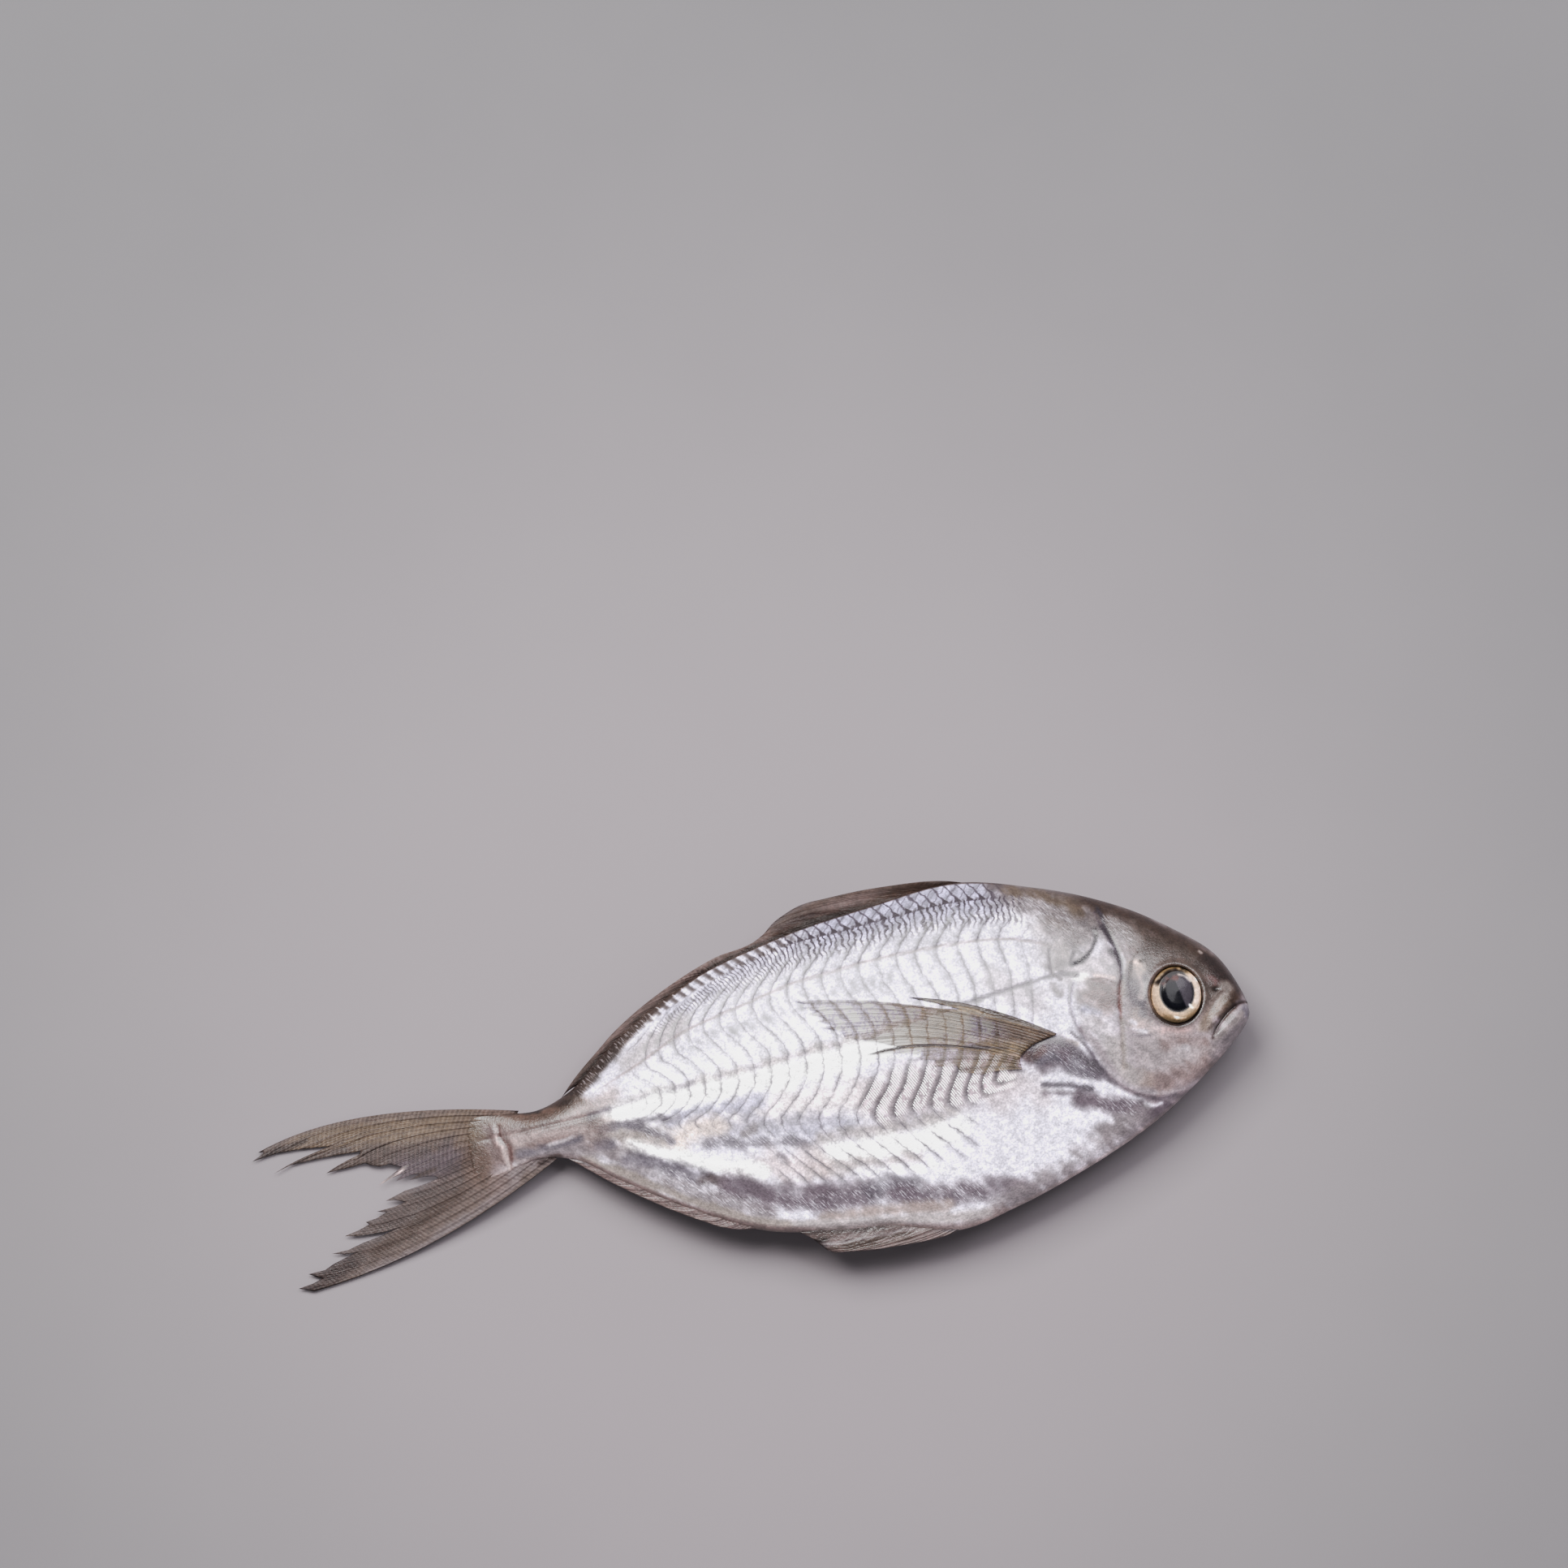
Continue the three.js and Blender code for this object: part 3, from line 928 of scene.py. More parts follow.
def pores_group() -> bpy.types.NodeTree:
    """A row of three-cornered pores: along it by turns of a phase, across it by distance.

    Returns:
        The group.
    """
    inputs = {"Phase": "Float", "Across": "Float", "Pitch": "Float", "Size": "Float"}
    sheet, given, out = new_group(Group.PORES, inputs, ("Pore",))
    turn = sheet.around(sheet.math("FRACT", sheet.plus(given["Phase"], 0.5)))
    along = sheet.math("ABSOLUTE", sheet.times(turn, given["Pitch"]))
    slope = sheet.plus(along, sheet.times(given["Across"], 0.55))
    gap = sheet.larger(slope, sheet.times(given["Across"], -1.0))
    inner = sheet.times(given["Size"], 0.5)
    sheet.put(out["Pore"], sheet.rest(sheet.step(gap, inner, given["Size"])))
    return sheet.tree


def grain_group() -> bpy.types.NodeTree:
    """Skin grain: fine granules, mottling, broad cloudiness and small drawn-out glints.

    Returns:
        The group.
    """
    names = ("Granule", "Mottle", "Cloud", "Glint")
    sheet, given, out = new_group(Group.GRAIN, {"Place": "Vector", "Size": "Float"}, names)
    scale = sheet.math("DIVIDE", 1.0, given["Size"])
    for name, share in zip(names[:3], (1.0, 0.36, 0.12)):
        uneven = sheet.noise(given["Place"], sheet.times(scale, share), 2.0, 0.6)
        sheet.put(out[name], sheet.step(uneven, 0.34, 0.66))
    slant, across = ((1.0, 0.8, 0.0), (0.12, -0.15, 0.0))
    ways = {0: sheet.along(given["Place"], slant), 1: sheet.along(given["Place"], across)}
    drawn_out = sheet.add("ShaderNodeCombineXYZ", ways)
    glint = sheet.noise(drawn_out.outputs[0], sheet.times(scale, 1.3), 3.0, 0.6)
    sheet.put(out["Glint"], sheet.step(glint, 0.5, 0.66))
    return sheet.tree


GROUP_MAKERS = {Group.LINES: lines_group, Group.PORES: pores_group, Group.GRAIN: grain_group}


def new_material(name: str) -> tuple[bpy.types.Material, NodeSheet, bpy.types.Node]:
    """An empty material, its sheet and its Principled shader.

    Args:
        name: the finish's name.

    Returns:
        All three.
    """
    material = bpy.data.materials.new(name)
    material.use_nodes = True
    sheet = NodeSheet(material.node_tree)
    shader = material.node_tree.nodes["Principled BSDF"]
    return material, sheet, shader


# Finishes


@dataclass(frozen=True)
class WetSkin:
    """Silver skin: the painted tone with band edges, scale rows, pores and dashes drawn over it, and hooks
    and glints painted as highlights.
    """

    name: str = "Wet silver skin"
    roughness: float = 0.28
    coat: float = 0.06
    coat_roughness: float = 0.2
    shine: float = 0.25

    def material(self) -> bpy.types.Material:
        """Builds the finish.

        Returns:
            The material.
        """
        material, sheet, shader = new_material(self.name)
        place = sheet.millimetres()
        band, below, above = sheet.masks("marks")
        patch, rear, glinting = sheet.masks("zones")
        grain = Group.GRAIN.within(sheet, Place=place, Size=0.42)
        colour = self._mottled(sheet, grain)
        line = self._bands(sheet, place, band)
        rows = self._rows(sheet, place, below, above)
        dashes = self._dashes(sheet, place, patch)
        dark, hook = self._hooks(sheet, place, rear)
        glint = sheet.times(grain["Glint"], glinting)
        # The hooks and glints are painted highlights; the band edges carry a painted shadow beside them
        drawn = (
            (line, 0.72, Paint.SLATE), (rows, 0.92, Paint.GRAPE), (dark, 0.7, Paint.COCOA),
            (dashes, 0.95, Paint.SNOW), (hook, 0.65, Paint.FROST), (glint, 0.55, Paint.FROST),
        )
        for mask, strength, paint in drawn:
            colour = sheet.tint(colour, sheet.times(mask, strength), paint)
        raised = sheet.math("SUBTRACT", sheet.larger(dashes, glint), sheet.larger(line, rows))
        normal = sheet.bump(grain["Granule"], 0.3, 0.1 * MM, Normal=sheet.bump(raised, 0.5, 0.12 * MM))
        sheet.feed(shader, {
            "Base Color": sheet.base(colour, sheet.attribute("lift")),
            "Roughness": sheet.plus(self.roughness, sheet.times(grain["Granule"], 0.1)),
            "Coat Weight": self.coat,
            "Coat Roughness": self.coat_roughness,
            "Specular IOR Level": self.shine,
            "Normal": normal,
        })
        return material

    def _mottled(self, sheet: NodeSheet, grain: dict[str, Socket]) -> Socket:
        """The painted tone, made uneven at three sizes.

        Args:
            sheet: the material's nodes.
            grain: the grain's values.

        Returns:
            The colour.
        """
        factor: Wire = 0.87
        for name, depth in (("Granule", 0.1), ("Mottle", 0.09), ("Cloud", 0.06)):
            factor = sheet.plus(factor, sheet.times(grain[name], depth))
        return sheet.scale(sheet.attribute("tone", "Color"), factor)

    def _bands(self, sheet: NodeSheet, place: Socket, shown: Socket) -> Socket:
        """The thin edges of the muscle bands, with a faint painted shadow beside them.

        Args:
            sheet: the material's nodes.
            place: the place in millimetres.
            shown: how plainly they show.

        Returns:
            Their mask.
        """
        jitter = sheet.times(sheet.around(sheet.noise(place, 0.9, 2.0)), 0.3)
        phase = sheet.plus(sheet.attribute("bands"), jitter)
        lines = Group.LINES.within(sheet, Phase=phase, Width=0.015, Softness=0.06)
        broken = sheet.step(sheet.noise(place, 0.4, 2.0), 0.34, 0.62)
        core = sheet.times(lines["Line"], sheet.plus(0.3, sheet.times(broken, 0.7)))
        # The halo is a painted shadow beside each edge
        return sheet.times(sheet.larger(core, sheet.times(lines["Halo"], broken, 0.4)), shown)

    def _rows(self, sheet: NodeSheet, place: Socket, below: Socket, above: Socket) -> Socket:
        """The dark edges of the scale rows under the back, and the row of pores.

        Args:
            sheet: the material's nodes.
            place: the place in millimetres.
            below, above: where the rows below and above the pores show.

        Returns:
            Their mask.
        """
        rows = sheet.attribute("rows")
        across = sheet.attribute("pores")
        sway = sheet.times(sheet.around(sheet.noise(place, 0.4, 3.0, 0.6)), 2.2)
        zigzag = sheet.times(sheet.math("SINE", sheet.times(across, 2.4)), 0.12)
        wavy = sheet.plus(sheet.times(rows, 2.0), sheet.plus(zigzag, sway))
        fine = Group.LINES.within(sheet, Phase=wavy, Width=0.09, Softness=0.2)
        slanted = sheet.plus(rows, sheet.times(sway, 0.35))
        strong = Group.LINES.within(sheet, Phase=slanted, Width=0.03, Softness=0.12)
        crossed = sheet.plus(slanted, sheet.times(across, 0.62))
        faint = Group.LINES.within(sheet, Phase=crossed, Width=0.02, Softness=0.12)
        pores = Group.PORES.within(sheet, Phase=rows, Across=across, Pitch=2.2, Size=0.66)
        uneven = sheet.step(sheet.noise(place, 0.4, 2.0), 0.3, 0.62)
        net = sheet.times(fine["Line"], below, sheet.plus(0.6, sheet.times(uneven, 0.4)))
        scales = sheet.times(sheet.larger(strong["Line"], sheet.times(faint["Line"], 0.5)), 0.75)
        net = sheet.larger(net, sheet.times(scales, above))
        return sheet.larger(net, sheet.times(pores["Pore"], sheet.attribute("pored")))

    def _dashes(self, sheet: NodeSheet, place: Socket, patch: Socket) -> Socket:
        """Fine white dashes on the lit half of each band in the grey patch.

        Args:
            sheet: the material's nodes.
            place: the place in millimetres.
            patch: where they lie.

        Returns:
            Their mask.
        """
        phase = sheet.plus(sheet.along(place, (-2.05, -1.19, 0.0)), sheet.noise(place, 0.9, 2.0))
        dashes = Group.LINES.within(sheet, Phase=phase, Width=0.1, Softness=0.18)
        lit = Group.LINES.within(sheet, Phase=sheet.attribute("bands"), Width=0.1, Softness=0.1)
        broken = sheet.step(sheet.noise(place, 0.9, 1.0), 0.34, 0.46)
        return sheet.times(dashes["Line"], sheet.step(lit["Turn"], 0.2, 0.5), broken, patch)

    def _hooks(self, sheet: NodeSheet, place: Socket, rear: Socket) -> tuple[Socket, Socket]:
        """Dark slanted dashes along the rear of the back's edge, each with a thin white hook, a painted
        highlight.

        Args:
            sheet: the material's nodes.
            place: the place in millimetres.
            rear: where they lie.

        Returns:
            The masks of the dashes and of the hooks' painted highlights.
        """
        sway = sheet.times(sheet.noise(place, 0.5, 2.0), 0.25)
        phase = sheet.plus(sheet.along(place, (-0.36, -0.36, 0.0)), sway)
        hooks = Group.LINES.within(sheet, Phase=phase, Width=0.035, Softness=0.07)
        falling = sheet.rest(sheet.step(hooks["Turn"], 0.4, 0.8))
        dark = sheet.times(sheet.step(hooks["Turn"], 0.1, 0.3), falling)
        # The hook lines are painted highlights
        return sheet.times(dark, rear), sheet.times(hooks["Line"], rear)


@dataclass(frozen=True)
class FinFinish:
    """Thin fin skin over close rays; the tone and the veil say how dark and how see-through it is."""

    name: str
    ray: Paint
    ray_dark: float = 0.5
    ticks: float = 0.0
    shine: float = 0.25

    def material(self) -> bpy.types.Material:
        """Builds the finish.

        Returns:
            The material.
        """
        material, sheet, shader = new_material(self.name)
        place = sheet.millimetres()
        grain = Group.GRAIN.within(sheet, Place=place, Size=0.5)
        veil = sheet.attribute("veil")
        across = sheet.plus(sheet.attribute("rays"), sheet.times(grain["Cloud"], 0.5))
        rays = Group.LINES.within(sheet, Phase=across, Width=0.08, Softness=0.3)
        bold = Group.LINES.within(sheet, Phase=sheet.times(across, 0.27), Width=0.03, Softness=0.1)
        ticks = Group.LINES.within(sheet, Phase=sheet.attribute("joints"), Width=0.06, Softness=0.3)
        streak = sheet.larger(sheet.times(rays["Line"], 0.7), bold["Line"])
        uneven = sheet.plus(sheet.times(grain["Granule"], 0.12), sheet.times(grain["Mottle"], 0.12))
        colour = sheet.scale(sheet.attribute("tone", "Color"), sheet.plus(0.9, uneven))
        colour = sheet.tint(colour, sheet.times(streak, self.ray_dark), self.ray)
        colour = sheet.tint(colour, sheet.times(ticks["Line"], self.ticks), Paint.SAND)
        held = sheet.times(sheet.times(streak, sheet.rest(veil), 0.7), sheet.step(veil, 0.0, 0.35))
        sheet.feed(shader, {
            "Base Color": sheet.base(colour, sheet.attribute("lift")),
            "Alpha": sheet.math("ADD", veil, held, clamp=True),
            "Roughness": sheet.plus(0.3, sheet.times(grain["Cloud"], 0.15)),
            "Specular IOR Level": self.shine,
            "Normal": sheet.bump(sheet.plus(streak, grain["Granule"]), 0.5, 0.12 * MM),
        })
        return material


@dataclass(frozen=True)
class EyeFinish:
    """A wet eyeball under a clear coat, with fine streaks round its ring."""

    name: str = "Wet eye"
    shine: float = 0.05
    coat: float = 0.03
    coat_roughness: float = 0.05

    def material(self) -> bpy.types.Material:
        """Builds the finish.

        Returns:
            The material.
        """
        material, sheet, shader = new_material(self.name)
        streak = sheet.noise(sheet.millimetres(), 1.6, 4.0, 0.7)
        uneven = sheet.plus(0.8, sheet.times(streak, 0.4))
        sheet.feed(shader, {
            "Base Color": sheet.base(sheet.scale(sheet.attribute("tone", "Color"), uneven)),
            "Roughness": sheet.plus(0.12, sheet.times(streak, 0.12)),
            "Specular IOR Level": self.shine,
            "Coat Weight": self.coat,
            "Coat Roughness": self.coat_roughness,
            "Normal": sheet.bump(streak, 0.2, 0.05 * MM),
        })
        return material


@dataclass(frozen=True)
class TableFinish:
    """Matt grey surface with the faintest unevenness, and a painted pool of light: paler near the fish,
    darker far from it.
    """

    name: str = "Grey table with a painted pool of light"
    # Painted pool of light: the colour near the fish and the darker colour far from it
    near: Colour = (177, 171, 175)
    far: Colour = (150, 148, 151)

    def material(self) -> bpy.types.Material:
        """Builds the finish.

        Returns:
            The material.
        """
        material, sheet, shader = new_material(self.name)
        place = sheet.millimetres()
        grain = sheet.noise(place, 0.02, 3.0)
        away = sheet.add("ShaderNodeVectorMath", {0: place}, operation="LENGTH")
        # Painted pool of light: from the near colour round the fish to the far colour beyond
        spread = sheet.step(sheet.plus(away.outputs["Value"], sheet.times(grain, 12.0)), 60.0, 260.0)
        near, far = ((*(np.asarray(colour) / 255.0), 1.0) for colour in (self.near, self.far))
        sheet.feed(shader, {
            "Base Color": sheet.base(sheet.mix(spread, near, far)),
            "Roughness": sheet.plus(0.6, sheet.times(grain, 0.1)),
            "Specular IOR Level": 0.25,
        })
        return material


# Painted strokes


@dataclass(frozen=True)
class Stroke:
    """A soft brush stroke of paint along a line on the fish."""

    paint: Paint
    width: float
    soft: float
    strength: float
    points: Pairs
    mottle: float = 0.0

    def lay(self, canvas: Array, back: Array, up: Array, grain: Array) -> None:
        """Paints the stroke on a canvas of seen colours, in place.

        Args:
            canvas: the colours so far.
            back, up: where each of them lies.
            grain: unevenness there, from -1 to 1, that breaks the stroke up.
        """
        p = np.asarray(self.points, float)
        pad = self.width + 1.3 * self.soft + 1.8
        near = (back > p[:, 0].min() - pad) & (back < p[:, 0].max() + pad)
        near &= (up > p[:, 1].min() - pad) & (up < p[:, 1].max() + pad)
        if not near.any():
            return
        rough = grain[near]
        gap = Trail(self.points).reach(back[near], up[near])[0] + rough * (0.1 + 0.7 * min(self.soft, 2.4))
        cover = self.strength * (1 - smoothstep(gap, 0.4 * self.width, self.width + 1.3 * self.soft))
        cover = cover * (1 - self.mottle * smoothstep(rough, -0.1, 0.5))
        canvas[near] += (self.paint.share - canvas[near]) * cover[:, None]


def strokes(*rows: tuple) -> tuple[Stroke, ...]:
    """Strokes from rows of paint, width, softness, strength, points and mottle, in the order of laying."""
    return tuple(Stroke(*row) for row in rows)


FLANK_STROKES = strokes(
    # Upper flank under the back's edge
    (Paint.LILAC, 3, 4, 0.9, ((46, 31), (60, 31.5), (75, 30), (84, 28))),
    (Paint.SILVER, 3, 4, 0.8, ((88, 27), (100, 23.5), (112, 18))),
    (Paint.LILAC, 1, 2.4, 0.4, ((86, 28.2), (96, 25.8), (106, 22.4), (114, 18.4)), 0.5),
    (Paint.SILVER, 1.1, 2.4, 0.7, ((48, 25), (70, 24.7), (85, 23.3), (98, 19.8))),
    # Painted highlight on the upper flank behind the head
    (Paint.FROST, 1.3, 2.2, 0.95, ((43.5, 26.6), (41, 25.6), (38.6, 24.2))),
    (Paint.ASH, 1, 1.8, 0.6, ((112, 16.4), (118, 13.4), (124, 10))),
    (Paint.STONE, 1.8, 2.6, 0.9, ((132, -1.8), (126, -4.4), (120, -6.2)), 0.2),
    # Silver side
    (Paint.PEARL, 3, 4, 0.8, ((44, 17), (60, 16.5), (78, 15.5), (95, 12))),
    (Paint.FROST, 1.8, 3, 0.85, ((88, 10), (100, 8.6), (112, 6.8), (122, 4.8))),
    (Paint.MIST, 1.6, 2.6, 0.7, ((50, 14), (46, 11), (42, 8.4))),
    # Painted shadow along the upper side of the crease at the middle line (these two strokes)
    (Paint.ASH, 0.3, 1.1, 0.8, ((60, 10), (75, 7.1), (85, 6.5), (95, 5.3), (105, 4.4), (115, 3.5),
     (126, 2.5), (133, 1.9)), 0.4),
    (Paint.HEATHER, 0.2, 0.8, 0.9, ((112, 3.9), (118, 2.9), (124, 2.3), (130, 1.6), (134, 1.1)), 0.5),
    # The white band under the middle line, a painted highlight, and the flank below it
    (Paint.SNOW, 1.3, 2.2, 1, ((58, 7.6), (68, 5.8), (78, 4.2), (88, 2.9), (98, 1.9), (110, 1.3),
     (122, 0.7), (130, 0.2))),
    (Paint.CREAM, 1.6, 3, 0.4, ((80, -4), (92, -4.4), (104, -4.2))),
    (Paint.HAZE, 1.4, 2.4, 0.55, ((84, -9.6), (92, -8.4), (102, -6.6), (110, -6)), 0.5),
    (Paint.LILAC, 0.9, 1.5, 0.85, ((99, -1.6), (105, -2), (111, -2.6), (117, -2.6)), 0.5),
    (Paint.CREAM, 1.4, 1.8, 0.8, ((109, -5.4), (114, -5.6), (117, -7.6))),
    (Paint.HEATHER, 0.2, 0.8, 0.9, ((116, -2.5), (120, -1.9), (126, -1.7), (132, -2)), 0.3),
    (Paint.HEATHER, 0.4, 0.8, 0.9, ((126.4, -2.2), (124.4, -2.6), (122.8, -3.4), (120.6, -4.8),
     (118.8, -5.6), (118, -7)), 0.25),
    (Paint.HEATHER, 0.3, 1, 0.75, ((111, -8.2), (107, -8.7), (104, -9.8), (100, -10.2), (97, -10.8),
     (94.6, -10.6), (92, -11.6)), 0.5),
    (Paint.DOVE, 0.4, 0.8, 0.7, ((103, -7.8), (101.4, -7.2)), 0.2),
    (Paint.SLATE, 0.3, 0.6, 0.9, ((97.2, -13), (96.2, -14), (95.6, -15))),
    # Grey patch of fine dashes and the green-grey edge below it
    (Paint.MAUVE, 4.6, 2.6, 0.95, ((52, -3.6), (60, -5), (68, -5), (74, -6))),
    (Paint.ASH, 0.8, 1.3, 0.8, ((62, -10.6), (70, -11.6), (80, -11.7), (88, -11.2)), 0.3),
    # Ribs and belly
    # Painted highlight on the ribs' rounded tops
    (Paint.SNOW, 1.4, 2, 0.95, ((60, -13.6), (70, -15), (80, -15), (87, -14.6))),
    (Paint.ASH, 0.8, 1.4, 0.85, ((70, -18.4), (78, -18.2), (86, -17.4), (92, -17.6)), 0.3),
    # Painted highlight above the purple band
    (Paint.FROST, 0.9, 1.3, 0.9, ((60, -22.6), (66, -20.9), (74, -20.3), (82, -19.9))),
    (Paint.BLUSH, 1.6, 2.6, 0.6, ((90, -15.6), (96, -15.8), (99, -14.4))),
    (Paint.PEARL, 4.6, 4.6, 0.9, ((44, -13), (50, -16), (56, -19))),
    (Paint.BLUSH, 1.6, 2.6, 0.35, ((52, -10), (46, -7.5), (44, -10))),
    # Painted highlight along the raised ridge towards the tail
    (Paint.SNOW, 0.9, 1.4, 1, ((126, -6.6), (122, -8.1), (118, -9.8), (114, -11.5), (110, -13.1),
     (106, -14.4), (101, -16))),
    (Paint.DOVE, 1.4, 2.2, 0.8, ((132, -5.6), (126, -10.4), (118, -16), (110, -20.2), (102, -23.4)), 0.3),
    (Paint.HEATHER, 0.5, 0.9, 0.8, ((132.4, -5), (129.6, -5.2)), 0.2),
    (Paint.DOVE, 0.5, 0.9, 0.7, ((130, -7.6), (127, -7.4)), 0.3),
    (Paint.HEATHER, 0.8, 1.2, 0.95, ((127, -8.7), (123, -9.9), (119, -12), (115, -14),
     (111.6, -15.5)), 0.2),
    (Paint.COCOA, 0.5, 1, 0.6, ((113, -15.2), (109.4, -16.4)), 0.2),
    (Paint.PLUM, 1.4, 1.8, 0.9, ((108, -17), (104, -18.9), (100, -20.8), (95, -21.9), (90, -22.2)), 0.25),
    (Paint.PLUM, 1.7, 2, 0.9, ((91, -22.8), (86, -23.6), (81, -23.6)), 0.15),
    (Paint.SLATE, 1, 1.8, 0.8, ((80, -23.2), (76, -22.8), (72.6, -23.6)), 0.15),
    (Paint.PLUM, 1.2, 1.6, 0.9, ((76, -24.6), (68, -26), (62, -26.2), (56, -26.8), (50, -27)), 0.3),
    (Paint.DOVE, 1.2, 2.4, 0.85, ((30, -20.6), (38, -24.2), (46, -27.6), (54, -29.4)), 0.4),
    (Paint.FAWN, 0.7, 1, 0.85, ((66, -28.4), (74, -27.8), (82, -27.2), (90, -27)), 0.3),
    (Paint.TAUPE, 1, 1.4, 0.7, ((56, -31.8), (62, -33), (70, -32.4), (78, -30.6))),
    (Paint.ASH, 0.7, 0.8, 0.95, ((58, -31.3), (66, -30.9), (72, -30), (80, -29.2), (90, -28.3),
     (98, -26.8))),
    (Paint.STONE, 0.5, 0.8, 0.95, ((98, -26.8), (104, -25.2), (112, -21.4), (120, -16.7), (128, -11.6),
     (136, -7.2))),
)

STALK_STROKES = strokes(
    (Paint.TAUPE, 3.4, 3.4, 0.92, ((135, 0.2), (142, -0.4), (152, -0.8))),
    (Paint.HIDE, 2.4, 3, 0.35, ((136, 0.2), (142, -0.4), (150, -0.8))),
    (Paint.TAUPE, 2.4, 3, 0.75, ((154.4, 6), (154.4, -8))),
    (Paint.HIDE, 1.6, 2.4, 0.95, ((157.2, 6), (157.2, -8))),
    (Paint.TAUPE, 1.6, 3, 0.6, ((138, -1), (146, -2.2), (152, -3)), 0.3),
    (Paint.BLUSH, 0.8, 1.6, 0.7, ((128, 4.4), (134, 2.6), (138, 1.6))),
    (Paint.BRONZE, 0.9, 1.4, 0.9, ((136, 4.2), (142, 3), (148, 3.4), (154, 4.4))),
    (Paint.SOOT, 0.35, 0.7, 0.95, ((143.4, 4.2), (145.4, 4.4), (147.6, 5))),
    (Paint.SOOT, 1, 1.1, 0.75, ((126.5, 13.2), (130, 10.6), (133, 8), (136.4, 6.2))),
    # Painted glints on the dark patch at the rear of the back's edge (these two strokes)
    (Paint.FROST, 0.25, 0.5, 0.95, ((130.6, 9.6), (132, 8.3), (133.6, 6.6))),
    (Paint.SNOW, 0.35, 0.45, 0.95, ((136.6, 5.3), (135.6, 5.3))),
    (Paint.PEWTER, 0.4, 1, 0.8, ((148, -3.9), (143, -4.2), (138, -3.6), (136, -3)), 0.3),
    (Paint.MIST, 0.12, 0.5, 0.8, ((142, -3.2), (139, -2.9), (137, -2.3))),
    # Painted highlight along the stalk's rounded middle
    (Paint.BLUSH, 0.4, 1.2, 0.6, ((148, -1.2), (141, -1), (135, -1.2))),
    (Paint.HEATHER, 0.3, 0.9, 0.7, ((133.2, 1), (129.4, 1.6)), 0.2),
    (Paint.DOVE, 0.6, 1.2, 0.8, ((136, -5.2), (143, -5.4), (150, -7.4))),
    (Paint.EMBER, 0.15, 0.6, 0.9, ((144.4, -6.4), (142.2, -6), (140.6, -5.9))),
    (Paint.BLUSH, 0.6, 2, 0.4, ((149.6, 2.2), (148.4, 0.4), (147.8, -2)), 0.5),
    (Paint.OLIVE, 1, 2.4, 0.7, ((157.4, 4.4), (157.2, 1.2))),
    (Paint.BRONZE, 1, 2.4, 0.6, ((157.4, -2.2), (157.2, -6.8))),
    # Painted highlights on the raised edge beside the hinge's crease
    (Paint.SHELL, 0.1, 0.4, 0.65, ((152.2, 1.8), (152.3, -0.8), (151.5, -2)), 0.3),
    (Paint.SHELL, 0.2, 0.5, 0.6, ((151.4, -2.6), (151, -4.4), (150.6, -6.4)), 0.4),
    (Paint.MAROON, 0.05, 0.3, 0.7, ((151.6, 2), (151.4, -0.2), (150.6, -1.6), (150, -2.3), (150.1, -6.4))),
)

